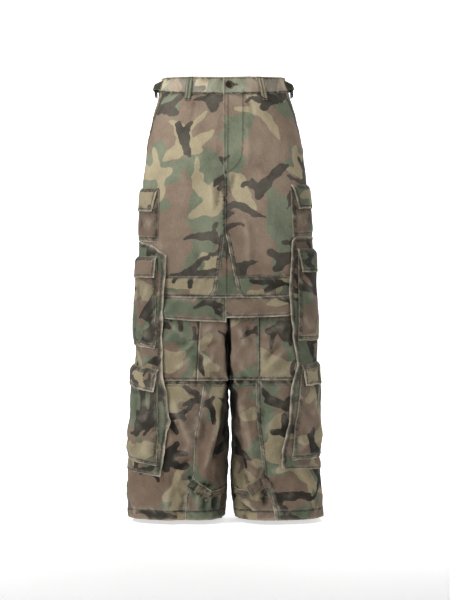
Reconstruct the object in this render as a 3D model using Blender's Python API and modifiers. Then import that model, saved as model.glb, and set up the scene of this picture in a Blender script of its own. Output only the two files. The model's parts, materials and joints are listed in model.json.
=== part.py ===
# Wide-leg cargo trousers, filled out as if worn and hollow inside.
# Metres, +Z up, the front faces -Y, and the wearer's right is -X.
# The origin is the middle of the waist, where a wearer would hold them up.
import math

import bmesh
import bpy
import numpy as np
from mathutils import Vector

OBJECT_NAME = "cargo_trousers"

# ---------------------------------------------------------------- sizes
CLOTH = 0.0014             # washed cotton twill
SEAM_GAP = 0.0003          # between two pieces sewn edge to edge
LAY_GAP = 0.0009           # under a piece that lies on another
BAND_CLOTH = 0.0024        # the waistband is two layers and their seam
CROTCH_Z = -0.574          # where the one tube becomes two legs
HEM_Z = -1.064
FLY_X = -0.0045            # the fly's edge, which laps over the right front
FLY_END_Z = -0.243
UNDERLAP = 0.009           # cloth that runs on under a pleat or a folded edge
FOLD_SEAT = 0.001          # past a folded edge, the cloth under it lies flat this far
PLEAT_RAMP = 0.014         # then it rises to the face of the form again, over these lengths
TUCK_RAMP = 0.018
FLY_SEAT = 0.006           # the same on the cloth under the fly's edge
FLY_RAMP = 0.018
FLY_END_RAMP = 0.030
BAND_PROUD = 0.0008        # the waistband's outer face over the panels
OVER_CENTRE = 0.045        # how far each half's form runs on past the centre line
FINE_STEP = 0.006          # height between two rings of the form
LINE_MARGIN = 0.004        # least distance from a facet line to another or to an edge
SQUEEZE = 0.003            # facet lines that an edge crosses are held this far apart
BODY_TOP_Z = 0.012         # the body's form runs from here
LEG_END_Z = -1.070         # the legs' forms run to here

RIGHT = -1                 # the wearer's right, at -X
LEFT = 1

# Outer reach of the form from x = 0, under the pockets: height, right side, left side.
REACH = (
    (0.012, 0.147, 0.139),
    (-0.020, 0.157, 0.147),
    (-0.050, 0.163, 0.156),
    (-0.100, 0.177, 0.171),
    (-0.180, 0.190, 0.187),
    (-0.300, 0.203, 0.200),
    (-0.450, 0.208, 0.211),
    (-0.600, 0.213, 0.216),
    (-0.750, 0.218, 0.219),
    (-0.880, 0.227, 0.224),
    (-0.990, 0.236, 0.231),
    (-1.070, 0.233, 0.235),
)

# Half depths and corner shape: height, front, back, start of the side curve, squareness.
DEPTH = (
    (0.012, 0.087, 0.098, 0.020, 2.15),
    (-0.050, 0.093, 0.106, 0.025, 2.20),
    (-0.130, 0.101, 0.118, 0.035, 2.25),
    (-0.230, 0.107, 0.125, 0.045, 2.30),
    (-0.360, 0.110, 0.120, 0.050, 2.35),
    (-0.500, 0.110, 0.112, 0.055, 2.40),
    (-0.640, 0.107, 0.109, 0.060, 2.40),
    (-0.800, 0.100, 0.103, 0.075, 2.40),
    (-0.950, 0.092, 0.097, 0.100, 2.35),
    (-1.070, 0.088, 0.092, 0.115, 2.30),
)

# Centre front and centre back line of the one tube: height, x.
CENTRE = (
    (0.012, -0.001),
    (-0.400, -0.001),
    (-0.540, 0.0012),
    (-0.600, 0.0012),
)

# Inner walls of the legs: height, right leg x, left leg x, width of their round corners.
INSEAM = (
    (-0.574, 0.0058, 0.0074, 0.009),
    (-0.740, 0.0058, 0.0074, 0.011),
    (-0.765, 0.0055, 0.0150, 0.020),
    (-0.900, 0.0040, 0.0178, 0.052),
    (-0.985, 0.0010, 0.0145, 0.064),
    (-1.025, -0.0005, 0.0190, 0.068),
    (-1.070, -0.0040, 0.0250, 0.070),
)

# Largest folds. Each runs from one point to another on the cloth, as a distance along it from
# the side line (to the front is positive) and a height: side, start, end, half width, rise.
FOLDS = (
    (RIGHT, (0.170, -0.230), (0.150, -0.400), 0.022, 0.0040),
    (RIGHT, (0.215, -0.330), (0.185, -0.560), 0.018, -0.0035),
    (LEFT, (0.165, -0.240), (0.148, -0.420), 0.022, 0.0040),
    (LEFT, (0.205, -0.300), (0.180, -0.540), 0.018, -0.0035),
    (RIGHT, (0.110, -0.110), (0.150, -0.230), 0.022, -0.0030),
    (LEFT, (0.105, -0.110), (0.145, -0.220), 0.022, -0.0030),
    (RIGHT, (-0.140, -0.200), (-0.150, -0.460), 0.024, 0.0055),
    (RIGHT, (-0.210, -0.300), (-0.190, -0.640), 0.024, -0.0050),
    (LEFT, (-0.145, -0.220), (-0.155, -0.500), 0.024, 0.0055),
    (LEFT, (-0.215, -0.280), (-0.195, -0.620), 0.024, -0.0050),
    (RIGHT, (0.175, -0.780), (0.150, -0.960), 0.018, 0.0045),
    (RIGHT, (0.215, -0.760), (0.205, -0.930), 0.018, -0.0040),
    (LEFT, (0.170, -0.780), (0.160, -0.940), 0.018, 0.0045),
    (LEFT, (0.215, -0.770), (0.220, -0.920), 0.018, -0.0040),
    (RIGHT, (-0.150, -0.700), (-0.155, -1.050), 0.024, 0.0060),
    (RIGHT, (-0.210, -0.720), (-0.205, -1.000), 0.022, -0.0050),
    (LEFT, (-0.150, -0.720), (-0.160, -1.050), 0.024, 0.0060),
    (LEFT, (-0.205, -0.700), (-0.200, -1.020), 0.022, -0.0050),
)

# Colours of the pieces: name, base colour, roughness, metallic.
MATERIALS = {
    "camo_cotton": ((0.165, 0.135, 0.088, 1.0), 0.90, 0.0),
    "aged_metal": ((0.070, 0.055, 0.040, 1.0), 0.45, 0.9),
    "black_buckle": ((0.012, 0.012, 0.012, 1.0), 0.50, 0.0),
}


# ---------------------------------------------------------------- the form
def column(table, height, index):
    # Smooth value of one column of a table whose first column is the height. It never
    # overshoots: the slope at a row is zero where the column turns back.
    rows = np.array(table)[::-1]
    xs = rows[:, 0]
    ys = rows[:, index]
    secants = np.diff(ys) / np.diff(xs)
    product = secants[:-1] * secants[1:]
    total = np.where(product > 0, secants[:-1] + secants[1:], 1.0)
    inner = np.where(product > 0, 2 * product / total, 0.0)
    slopes = np.concatenate([secants[:1], inner, secants[-1:]])
    z = np.clip(np.asarray(height, dtype=float), xs[0], xs[-1])
    k = np.clip(np.searchsorted(xs, z) - 1, 0, len(xs) - 2)
    span = xs[k + 1] - xs[k]
    t = (z - xs[k]) / span
    return (ys[k] * (1 + 2 * t) * (1 - t) ** 2 + slopes[k] * span * t * (1 - t) ** 2
            + ys[k + 1] * t * t * (3 - 2 * t) - slopes[k + 1] * span * t * t * (1 - t))


def smooth(t):
    t = np.clip(t, 0.0, 1.0)
    return t * t * (3 - 2 * t)


def ringPath(side, z, isLeg):
    # One side's path round the form at one height, as its x and y. It runs from the centre
    # front, or a leg's from its inseam, over the side to the back.
    reach = side * float(column(REACH, z, 1 if side == RIGHT else 2))
    front, back, curveStart, square = (float(column(DEPTH, z, i)) for i in (1, 2, 3, 4))
    turn = np.linspace(0, math.pi / 2, 60)
    power = 2 / square
    low = np.sin(turn) ** power
    high = np.cos(turn) ** power
    curveX = side * curveStart + (reach - side * curveStart) * low
    x = [curveX, curveX[::-1][1:]]
    y = [-front * high, (back * high)[::-1][1:]]
    if isLeg:
        wall = float(column(INSEAM, z, 1 if side == RIGHT else 2))
        corner = side * float(column(INSEAM, z, 3))
        cornerX = wall + corner * (1 - high)
        x = [cornerX] + x + [cornerX[::-1]]
        y = [-front * low] + y + [(back * low)[::-1]]
    else:
        middle = float(column(CENTRE, z, 1))
        past = middle - side * OVER_CENTRE
        x = [[past, middle]] + x + [[middle, past]]
        y = [[-front, -front]] + y + [[back, back]]
    return np.concatenate(x), np.concatenate(y)


def foldHeight(side, along, z):
    # Sum of the folds at points given by distance along the cloth and height.
    total = np.zeros(np.broadcast(along, z).shape)
    for foldSide, start, end, width, rise in FOLDS:
        if foldSide != side:
            continue
        run = np.array(end) - np.array(start)
        length = math.hypot(*run)
        da = along - start[0]
        dz = z - start[1]
        t = (da * run[0] + dz * run[1]) / length ** 2
        off = (da * run[1] - dz * run[0]) / length
        ends = smooth((t + 0.15) / 0.45) * smooth((1.15 - t) / 0.45)
        total += rise * ends * np.exp(-(off / width) ** 2)
    return total


def buildForm(side, top, bottom, isLeg):
    # Look-up table of the form's outer face: rows by height, columns by distance from the side.
    heights = np.linspace(top, bottom, int(round((top - bottom) / FINE_STEP)) + 1)
    stations = np.linspace(-0.60, 0.60, 401)
    points = np.zeros((len(heights), len(stations), 3))
    ends = np.zeros((len(heights), 2))
    for i, z in enumerate(heights):
        x, y = ringPath(side, z, isLeg)
        step = np.hypot(np.diff(x), np.diff(y))
        run = np.concatenate([[0], np.cumsum(step)])
        sideRun = run[int(np.argmax(side * x))]
        points[i, :, 0] = np.interp(sideRun - stations, run, x)
        points[i, :, 1] = np.interp(sideRun - stations, run, y)
        points[i, :, 2] = z
        past = 0 if isLeg else 1
        ends[i] = (sideRun - run[past], sideRun - run[-1 - past])
    form = {"side": side, "heights": heights, "stations": stations, "points": points,
            "ends": ends, "past": 0.0 if isLeg else OVER_CENTRE}
    form["normals"] = tableNormals(form)
    rise = foldHeight(side, stations[None, :], heights[:, None])
    form["points"] = points + form["normals"] * rise[..., None]
    form["normals"] = tableNormals(form)
    return form


def tableNormals(form):
    # Outward normals of a form's table, held steady past the two ends of each row.
    alongCloth = np.gradient(form["points"], axis=1)
    down = np.gradient(form["points"], axis=0)
    normals = np.cross(alongCloth, down) * form["side"]
    length = np.linalg.norm(normals, axis=2)
    margin = 0.003 - form["past"]
    stations = form["stations"]
    for row, end in enumerate(form["ends"]):
        inside = np.nonzero((stations <= end[0] - margin) & (stations >= end[1] + margin))[0]
        nearest = np.clip(np.arange(len(stations)), inside[0], inside[-1])
        normals[row] = normals[row][nearest]
        length[row] = length[row][nearest]
    return normals / length[..., None]


def sample(form, table, along, z):
    # Bilinear look-up in one of a form's tables.
    heights = form["heights"]
    stations = form["stations"]
    row = np.clip((heights[0] - z) / (heights[0] - heights[-1]), 0, 1) * (len(heights) - 1)
    col = np.clip((along - stations[0]) / (stations[-1] - stations[0]), 0, 1) * (len(stations) - 1)
    i = np.minimum(row.astype(int), len(heights) - 2)
    j = np.minimum(col.astype(int), len(stations) - 2)
    a = (row - i)[..., None]
    b = (col - j)[..., None]
    values = form[table]
    return ((values[i, j] * (1 - b) + values[i, j + 1] * b) * (1 - a)
            + (values[i + 1, j] * (1 - b) + values[i + 1, j + 1] * b) * a)


# Facet lines that all pieces of a side share, so that layers stay parallel: heights, and
# distances from the side line, closer together where the form turns.
UPPER_ROWS = np.linspace(-0.055, CROTCH_Z, 16)
LOWER_ROWS = np.linspace(CROTCH_Z, LEG_END_Z, 15)
BODY_END_Z = LOWER_ROWS[1]     # the lower bands hang on past the crotch
FACET_ROWS = np.concatenate([[BODY_TOP_Z, -0.020], UPPER_ROWS, LOWER_ROWS[1:]])
HALF_COLUMNS = (0.022, 0.044, 0.066, 0.090, 0.118, 0.150, 0.187, 0.226, 0.262, 0.274, 0.284, 0.296,
                0.314, 0.336, 0.360, 0.390)
FACET_COLUMNS = np.array([-c for c in reversed(HALF_COLUMNS)] + [0.0] + list(HALF_COLUMNS))


def facetForm(form):
    # The form as flat facets between the shared lines.
    heights = form["heights"]
    rows = FACET_ROWS[(FACET_ROWS <= heights[0] + 1e-6) & (FACET_ROWS >= heights[-1] - 1e-6)]
    along, z = np.meshgrid(FACET_COLUMNS, rows)
    form["rows"] = rows
    form["facetPoints"] = sample(form, "points", along, z)
    form["facetNormals"] = sample(form, "normals", along, z)
    return form


BODY = {side: facetForm(buildForm(side, BODY_TOP_Z, BODY_END_Z, False)) for side in (RIGHT, LEFT)}
LEG = {side: facetForm(buildForm(side, CROTCH_Z, LEG_END_Z, True)) for side in (RIGHT, LEFT)}


def facetValue(values, rows, along, z):
    # Bilinear look-up in a table whose rows and columns are the shared facet lines.
    i = np.clip(np.searchsorted(-rows, -z, side="right") - 1, 0, len(rows) - 2)
    j = np.clip(np.searchsorted(FACET_COLUMNS, along, side="right") - 1, 0, len(FACET_COLUMNS) - 2)
    a = ((rows[i] - z) / (rows[i] - rows[i + 1]))[:, None]
    b = ((along - FACET_COLUMNS[j]) / (FACET_COLUMNS[j + 1] - FACET_COLUMNS[j]))[:, None]
    return ((values[i, j] * (1 - b) + values[i, j + 1] * b) * (1 - a)
            + (values[i + 1, j] * (1 - b) + values[i + 1, j + 1] * b) * a)


def facetPlace(form, along, z, lift):
    # Points on the facets, lifted off them.
    base = facetValue(form["facetPoints"], form["rows"], along, z)
    normal = facetValue(form["facetNormals"], form["rows"], along, z)
    normal = normal / np.linalg.norm(normal, axis=1)[:, None]
    return base + normal * lift[:, None]


def formAt(side, z, tube=None):
    if tube:
        return tube[side]
    return BODY[side] if z > CROTCH_Z else LEG[side]


def onForm(side, along, z, lift, tube=None):
    # World points at a distance along the cloth, a height and a lift off the outer face.
    along, z, lift = (np.atleast_1d(v).astype(float) for v in np.broadcast_arrays(along, z, lift))
    if tube:
        return facetPlace(tube[side], along, z, lift)
    isBody = z > CROTCH_Z
    result = np.zeros(along.shape + (3,))
    for form, chosen in ((BODY[side], isBody), (LEG[side], ~isBody)):
        result[chosen] = facetPlace(form, along[chosen], z[chosen], lift[chosen])
    return result


def endLine(side, z, which, tube=None):
    # Distance from the side line to the front (0) or back (1) end of the ring at each height.
    return np.array([np.interp(-h, -formAt(side, h, tube)["heights"],
                               formAt(side, h, tube)["ends"][:, which]) for h in np.atleast_1d(z)])


def alongAtX(side, x, z, tube=None):
    # Distance along the cloth of the front points that have the given x.
    found = []
    for oneX, h in zip(np.atleast_1d(x), np.atleast_1d(z)):
        form = formAt(side, h, tube)
        row = (form["heights"][0] - h) / (form["heights"][0] - form["heights"][-1])
        row = int(round(min(max(row, 0), 1) * (len(form["heights"]) - 1)))
        ahead = form["stations"] >= 0
        outward = side * form["points"][row, ahead, 0]
        ordered = np.minimum.accumulate(outward)
        found.append(np.interp(-side * oneX, -ordered, form["stations"][ahead]))
    return np.array(found)


# ---------------------------------------------------------------- edges of pieces
def atX(*rows):
    # An edge through front points: height, x. Straight between them.
    def line(side, z, tube):
        table = np.array(rows)[::-1]
        return alongAtX(side, np.interp(z, table[:, 0], table[:, 1]), z, tube)
    line.bends = [row[0] for row in rows[1:-1]]
    return line


def atAlong(*rows):
    # An edge through points given by height and distance from the side line.
    def line(side, z, tube):
        table = np.array(rows)[::-1]
        return np.interp(z, table[:, 0], table[:, 1])
    return line


def frontEnd(side, z, tube=None):
    return endLine(side, z, 0, tube)


def backEnd(side, z, tube=None):
    return endLine(side, z, 1, tube)


def sideLine(side, z, tube):
    return np.zeros(len(z))


def level(*rows):
    # A height that changes along the piece: distance from the side line, height.
    if len(rows) == 1:
        return lambda along: np.full(np.shape(along), rows[0])
    return lambda along: column(rows, along, 1)


# ---------------------------------------------------------------- lifts
def onTop(layers=1):
    # Outer face of a piece that lies on this many others.
    return layers * (LAY_GAP + CLOTH)


def nearLine(distance, full, ramp):
    # 1 up to a distance from a line, and then down to 0 over the ramp.
    return 1 - smooth((distance - full) / ramp)


# ---------------------------------------------------------------- pieces of cloth
def linesWithin(low, high, shared, extras):
    # Facet lines strictly inside a piece, from high to low. Shared ones give way to extras.
    inside = [e for e in extras if low + LINE_MARGIN / 2 < e < high - LINE_MARGIN / 2]
    for value in shared:
        apart = min([abs(value - e) for e in inside] + [1.0])
        if low + LINE_MARGIN < value < high - LINE_MARGIN and apart > LINE_MARGIN:
            inside.append(value)
    return np.array(sorted(set(inside), reverse=True))


def slab(columns, lines):
    # A closed flat slab of faces, one unit deep: its mesh and each vertex's place in it.
    body = bmesh.new()
    bmesh.ops.create_grid(body, x_segments=columns, y_segments=lines, size=0.5)
    layer = bmesh.ops.extrude_face_region(body, geom=body.faces[:], use_keep_orig=True)
    for vert in layer["geom"]:
        if isinstance(vert, bmesh.types.BMVert):
            vert.co.z = 1.0
    co = np.array([v.co for v in body.verts])
    i = np.rint((co[:, 0] + 0.5) * columns).astype(int)
    j = np.rint((co[:, 1] + 0.5) * lines).astype(int)
    return body, i, j, co[:, 2]


def between(index, first, last, near, lines):
    # Positions of numbered lines from a first edge to a last one below it. Some follow the
    # first edge at fixed distances, and the rest keep their own place or are squeezed in.
    count = len(near) + len(lines) + 1
    offset = near[-1] if near else 0.0
    hold = np.minimum(SQUEEZE, (first - last - offset) / (len(lines) + 2))
    own = np.concatenate([np.zeros(1 + len(near)), lines, np.zeros(1)])[index]
    rank = index - len(near)
    inner = np.clip(own, last + hold * (count - index), first - offset - hold * rank)
    follow = first - np.array((0.0,) + tuple(near))[np.minimum(index, len(near))]
    return np.where(index <= len(near), follow, np.where(index == count, last, inner))


def clothPiece(name, side, front, back, top, bottom, lift=None, rise=0.0, ramp=0.018,
               wall=CLOTH, near=(), nearTop=(), rows=(), marks=(), columns=None, tube=None):
    # A closed wall of cloth on the form. front and back give its edges as distances from the
    # side line at each height, top and bottom its edges as heights at each distance. lift is
    # the height of its outer face, and rise puffs that out inside a ramp. near and nearTop
    # are facet lines that follow the front and top edges, marks and rows fixed ones.
    spans = np.linspace(-0.30, 0.30, 61)
    heights = np.linspace(float(top(0.1)), float(bottom(0.1)), 24)
    fronts = front(side, heights, tube)
    backs = back(side, heights, tube)
    spans = spans[(spans < fronts.max()) & (spans > backs.min())]
    highest, lowest = float(np.max(top(spans))), float(np.min(bottom(spans)))
    bends = [z for edge in (front, back) for z in getattr(edge, "bends", ())]
    rowExtras = list(rows) + bends
    columnExtras = list(marks)
    if rise:
        rowExtras += [highest - ramp, lowest + ramp]
        columnExtras += [fronts.min() - ramp, backs.max() + ramp]
    if columns is None:
        columns = linesWithin(backs.min(), fronts.max(), FACET_COLUMNS, columnExtras)
    lines = linesWithin(lowest, highest, FACET_ROWS, rowExtras)

    body, i, j, outside = slab(len(near) + len(columns) + 1, len(nearTop) + len(lines) + 1)
    half = SEAM_GAP / 2
    z = np.full(len(i), 0.5 * (highest + lowest))
    for _ in range(4):
        a = front(side, z, tube) - half
        b = back(side, z, tube) + half
        along = between(i, a, b, near, columns)
        topZ = top(along) - half
        bottomZ = bottom(along) + half
        z = between(j, topZ, bottomZ, nearTop, lines)
    outer = lift(side, along, z) if lift else np.zeros(len(z))
    if rise:
        nearest = np.minimum.reduce([a - along, along - b, topZ - z, z - bottomZ])
        outer = outer + rise * smooth(nearest / ramp)
    position = onForm(side, along, z, outer - wall * (1 - outside), tube)
    return finishPiece(name, body, position, "camo_cotton")


def patch(name, side, corners, lift, wall=CLOTH, columns=3, lines=2):
    # A strap or tab between four corners, each a distance from the side line and a height:
    # start upper, end upper, end lower, start lower.
    body, i, j, outside = slab(columns, lines)
    u = (i / columns)[:, None]
    v = (j / lines)[:, None]
    p, q, r, t = (np.array(c) for c in corners)
    place = (p * (1 - u) + q * u) * (1 - v) + (t * (1 - u) + r * u) * v
    along = place[:, 0]
    z = place[:, 1]
    position = onForm(side, along, z, lift(along, z) - wall * (1 - outside))
    return finishPiece(name, body, position, "camo_cotton")


def finishPiece(name, body, position, material):
    for vert, point in zip(body.verts, position):
        vert.co = point
    bmesh.ops.recalc_face_normals(body, faces=body.faces[:])
    if body.calc_volume(signed=True) < 0:
        bmesh.ops.reverse_faces(body, faces=body.faces[:])
    mesh = bpy.data.meshes.new(name)
    body.to_mesh(mesh)
    body.free()
    for face in mesh.polygons:
        face.use_smooth = True
    piece = bpy.data.objects.new(name, mesh)
    PARTS.objects.link(piece)
    piece.data.materials.append(makeMaterial(material))
    return piece


def makeMaterial(name):
    material = bpy.data.materials.get(name)
    if material:
        return material
    colour, roughness, metallic = MATERIALS[name]
    material = bpy.data.materials.new(name)
    material.use_nodes = True
    shader = material.node_tree.nodes["Principled BSDF"]
    shader.inputs["Base Color"].default_value = colour
    shader.inputs["Roughness"].default_value = roughness
    shader.inputs["Metallic"].default_value = metallic
    return material


# ---------------------------------------------------------------- lines shared by the pieces
WAIST_TOP = level((0.200, -0.0136), (0.110, -0.0118), (0.030, -0.0067), (0.000, -0.0040),
                  (-0.100, 0.0010), (-0.210, 0.0030))
WAIST_SEAM = level((0.210, -0.0555), (0.128, -0.0534), (0.080, -0.0495), (0.032, -0.0425),
                   (0.000, -0.0385), (-0.100, -0.0370), (-0.220, -0.0370))
KNEE_BAND_TOP = level(-0.4866)
KNEE_BAND_END = {
    RIGHT: level((0.270, -0.5350), (0.230, -0.5350), (0.000, -0.5290)),
    LEFT: level((0.270, -0.5350), (0.230, -0.5350), (0.000, -0.5240)),
}
BAND_HANG = (0.120, 0.012)     # the lower bands stand off the legs from here to the front
LOWER_BAND_END = {
    RIGHT: level((0.280, -0.5940), (0.128, -0.5850), (0.120, CROTCH_Z), (0.000, CROTCH_Z)),
    LEFT: level((0.280, -0.5835), (0.128, -0.5790), (0.120, CROTCH_Z), (0.000, CROTCH_Z)),
}
CROTCH = level(CROTCH_Z)
TUCK_Z = {RIGHT: -0.7320, LEFT: -0.7305}     # the folded edge below the knee
HEM = level(HEM_Z)

# Front edges, height and x: the centre front and then the gusset's seam.
GUSSET_SEAM = {
    RIGHT: ((-0.3770, -0.0025), (-0.5174, -0.0200), (-0.5360, -0.0330)),
    LEFT: ((-0.3770, 0.0000), (-0.4093, 0.0059), (-0.5174, 0.0271), (-0.5360, 0.0380)),
}
FRONT_EDGE = {
    RIGHT: ((0.0, 0.006), (FLY_END_Z, 0.006), (FLY_END_Z - 0.008, -0.0012)),
    LEFT: ((0.0, FLY_X), (FLY_END_Z, FLY_X), (FLY_END_Z - 0.008, -0.0012)),
}
PLEAT = {
    RIGHT: ((CROTCH_Z, -0.0590), (-0.7400, -0.0675)),
    LEFT: ((CROTCH_Z, 0.0778), (-0.7400, 0.0779)),
}
SHIN_SEAM = {
    RIGHT: ((-0.7200, -0.0490), (-0.7460, -0.0522), (-0.8255, -0.0650), (-0.8612, -0.0722),
            (-0.9539, -0.0760), (-1.0087, -0.0924), (-1.0700, -0.0965)),
    LEFT: ((-0.7200, 0.0715), (-0.8256, 0.0744), (-0.8993, 0.0840), (-0.9563, 0.0900),
           (-1.0443, 0.1161), (-1.0700, 0.1175)),
}
POCKET_MOUTH = ((-0.0300, 0.0460), (-0.1900, 0.0060), (-0.1970, 0.0000), (-2.0, 0.0000))

# Long side panels that carry the cargo pockets.
CARGO_TOP = {
    RIGHT: level((0.1290, -0.4379), (0.0985, -0.4173), (0.0585, -0.4056), (0.0, -0.4010),
                 (-0.11, -0.4010)),
    LEFT: level((0.1180, -0.4080), (0.1050, -0.3960), (0.0900, -0.3930), (0.0, -0.3901),
                (-0.11, -0.3901)),
}
CARGO_END = {
    RIGHT: level((0.1350, -0.9600), (0.0, -0.9490), (-0.11, -0.9480)),
    LEFT: level((0.1464, -0.9400), (0.0, -0.9476), (-0.11, -0.9480)),
}
CARGO_EDGE = {
    RIGHT: ((-0.40, 0.1268), (-0.4804, 0.1301), (-0.5419, 0.1261), (-0.6247, 0.1236),
            (-0.7140, 0.1267), (-0.7714, 0.1373), (-0.8187, 0.1448), (-0.8805, 0.1399),
            (-0.9391, 0.1347), (-0.9650, 0.1290)),
    LEFT: ((-0.40, 0.1112), (-0.4827, 0.1200), (-0.5182, 0.1245), (-0.5892, 0.1214),
           (-0.6628, 0.1120), (-0.6961, 0.1057), (-0.7503, 0.1219), (-0.8449, 0.1295),
           (-0.8948, 0.1448), (-0.9500, 0.1464)),
}
CARGO_BACK = -0.110
CARGO_PROUD = 0.0045       # how far the free front edge stands off the leg
PANEL_RAMP = 0.030
EDGE_WAVE = 31             # the free edge stands off unevenly, in waves of about 0.2 m

# Pockets, all as distances from the side line and heights: front edge at the top and the
# bottom, back edge, top and bottom heights at the front edge and at the side line, rise.
POCKETS = {
    ("hip", RIGHT): (0.1010, 0.1050, -0.062, (-0.2815, -0.2765), (-0.4040, -0.3990), 0.0035),
    ("hip", LEFT): (0.0990, 0.1055, -0.062, (-0.2730, -0.2680), (-0.3925, -0.3880), 0.0035),
    ("upper", RIGHT): (0.1040, 0.1080, -0.095, (-0.4440, -0.4420), (-0.6570, -0.6480), 0.0045),
    ("upper", LEFT): (0.0960, 0.1010, -0.095, (-0.4260, -0.4230), (-0.6370, -0.6380), 0.0045),
    ("lower", RIGHT): (0.1130, 0.1200, -0.095, (-0.7120, -0.7030), (-0.9350, -0.9210), 0.0045),
    ("lower", LEFT): (0.0920, 0.1210, -0.095, (-0.7010, -0.6950), (-0.9205, -0.9185), 0.0045),
}
FLAPS = {
    ("hip", RIGHT): (0.0990, 0.0868, -0.064, (-0.2774, -0.2714), (-0.3314, -0.3270)),
    ("hip", LEFT): (0.0970, 0.0838, -0.064, (-0.2688, -0.2640), (-0.3242, -0.3200)),
    ("upper", RIGHT): (0.1060, 0.1020, -0.098, (-0.4393, -0.4367), (-0.4885, -0.4870)),
    ("upper", LEFT): (0.0988, 0.0900, -0.098, (-0.4209, -0.4180), (-0.4754, -0.4740)),
    ("lower", RIGHT): (0.1166, 0.1079, -0.098, (-0.7068, -0.6974), (-0.7596, -0.7460)),
    ("lower", LEFT): (0.0950, 0.0861, -0.098, (-0.6963, -0.6901), (-0.7458, -0.7426)),
}

TAB_LIFT = onTop() + 0.0001      # the leg tabs are flat quads, so they need a little more room
STRAP_LIFT = onTop() + 0.0006
LOOP_WIDTH = 0.015
LOOP_ARCH = 0.0015
FRONT_LOOP = {RIGHT: 0.1175, LEFT: 0.1100}   # distance from the side line to the middle
BACK_LOOP = -0.105


# ---------------------------------------------------------------- the pieces
def buildWaistbands():
    # Two halves. The left one laps over the right one at the centre front.
    def underFly(side, along, z):
        under = nearLine(frontEnd(side, z, BODY) - along, FLY_SEAT, FLY_RAMP)
        return BAND_PROUD - under * (BAND_CLOTH + LAY_GAP)

    clothPiece("waistband_right", RIGHT, atX((0.1, 0.011), (-0.1, 0.011)), backEnd, WAIST_TOP,
               WAIST_SEAM, underFly, wall=BAND_CLOTH, near=(0.017, 0.034), tube=BODY)
    clothPiece("waistband_left", LEFT, atX((0.1, FLY_X), (-0.1, FLY_X)), backEnd, WAIST_TOP,
               WAIST_SEAM, lambda side, along, z: BAND_PROUD + 0 * z, wall=BAND_CLOTH, tube=BODY)


def buildUpperFronts():
    # The right front runs on under the fly's edge. Each front stops at its pocket mouth, with
    # the pocket's facing behind it.
    def underFly(side, along, z):
        off = frontEnd(side, z, BODY) - along
        past = nearLine(FLY_END_Z - z, UNDERLAP, FLY_END_RAMP)
        return -onTop() * nearLine(off, FLY_SEAT, FLY_RAMP) * past

    for side, label in SIDE_NAMES.items():
        edge = atX(*FRONT_EDGE[side], *GUSSET_SEAM[side])
        mouth = atAlong(*POCKET_MOUTH)
        under = underFly if side == RIGHT else None
        near = (0.013, 0.030) if side == RIGHT else ()
        clothPiece("front_" + label, side, edge, mouth, WAIST_SEAM, KNEE_BAND_TOP, under,
                   near=near, tube=BODY)
        shifted = atAlong(*[(z, along + UNDERLAP) for z, along in POCKET_MOUTH])
        clothPiece("pocket_facing_" + label, side, shifted, sideLine, WAIST_SEAM,
                   level(-0.2050), lambda side, along, z: -onTop() + 0 * z, tube=BODY)
        clothPiece("back_" + label, side, sideLine, backEnd, WAIST_SEAM, CROTCH, tube=BODY)


def buildBands():
    # The gusset between the thighs, and under it two bands on each thigh. The lower bands'
    # ends hang free over the legs, and the left one starts where the right one ends.
    half = SEAM_GAP / 2
    clothPiece("gusset", LEFT, atX(*[(z, x + half) for z, x in GUSSET_SEAM[RIGHT]]),
               atX(*[(z, x - half) for z, x in GUSSET_SEAM[LEFT]]), level(-0.3800),
               KNEE_BAND_END[LEFT], columns=(), tube=BODY)
    for side, label in SIDE_NAMES.items():
        seam = atX(*GUSSET_SEAM[side])
        clothPiece("knee_band_" + label, side, seam, sideLine, KNEE_BAND_TOP,
                   KNEE_BAND_END[side], tube=BODY)

        def overLeg(side, along, z):
            hang = nearLine(BAND_HANG[0] - along, 0.0, BAND_HANG[1])
            return onTop() * nearLine(z - CROTCH_Z, 0.004, 0.020) * hang

        middle = atX((0.0, 0.0012), (-1.0, 0.0012))
        clothPiece("lower_band_" + label, side, middle, sideLine, KNEE_BAND_END[side],
                   LOWER_BAND_END[side], overLeg, rows=(CROTCH_Z + 0.024, CROTCH_Z + 0.003),
                   marks=(0.128, BAND_HANG[0], BAND_HANG[0] - BAND_HANG[1]), tube=BODY)


def buildLegs():
    for side, label in SIDE_NAMES.items():
        tuck = level(TUCK_Z[side])
        pleat = atX(*PLEAT[side])
        underPleat = atX(*[(z, x - side * UNDERLAP) for z, x in PLEAT[side]])

        def pleatUnder(side, along, z):
            return -onTop() * nearLine(pleat(side, z, LEG) - along, FOLD_SEAT, PLEAT_RAMP)

        def tuckUnder(side, along, z):
            # Under both layers of the pleat.
            return -onTop(2) * nearLine(TUCK_Z[side] - z, FOLD_SEAT, TUCK_RAMP)

        clothPiece("knee_inner_" + label, side, frontEnd, pleat, CROTCH, tuck, tube=LEG)
        clothPiece("knee_outer_" + label, side, underPleat, sideLine, CROTCH, tuck, pleatUnder,
                   near=(UNDERLAP + FOLD_SEAT, UNDERLAP + FOLD_SEAT + PLEAT_RAMP), tube=LEG)
        seam = atX(*SHIN_SEAM[side])
        start = level(TUCK_Z[side] + UNDERLAP)
        rampLines = (UNDERLAP + FOLD_SEAT, UNDERLAP + FOLD_SEAT + TUCK_RAMP)
        clothPiece("shin_inner_" + label, side, frontEnd, seam, start, HEM, tuckUnder,
                   nearTop=rampLines, tube=LEG)
        clothPiece("shin_outer_" + label, side, seam, sideLine, start, HEM, tuckUnder,
                   nearTop=rampLines, tube=LEG)
        clothPiece("leg_back_" + label, side, sideLine, backEnd, CROTCH, HEM, tube=LEG)


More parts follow.
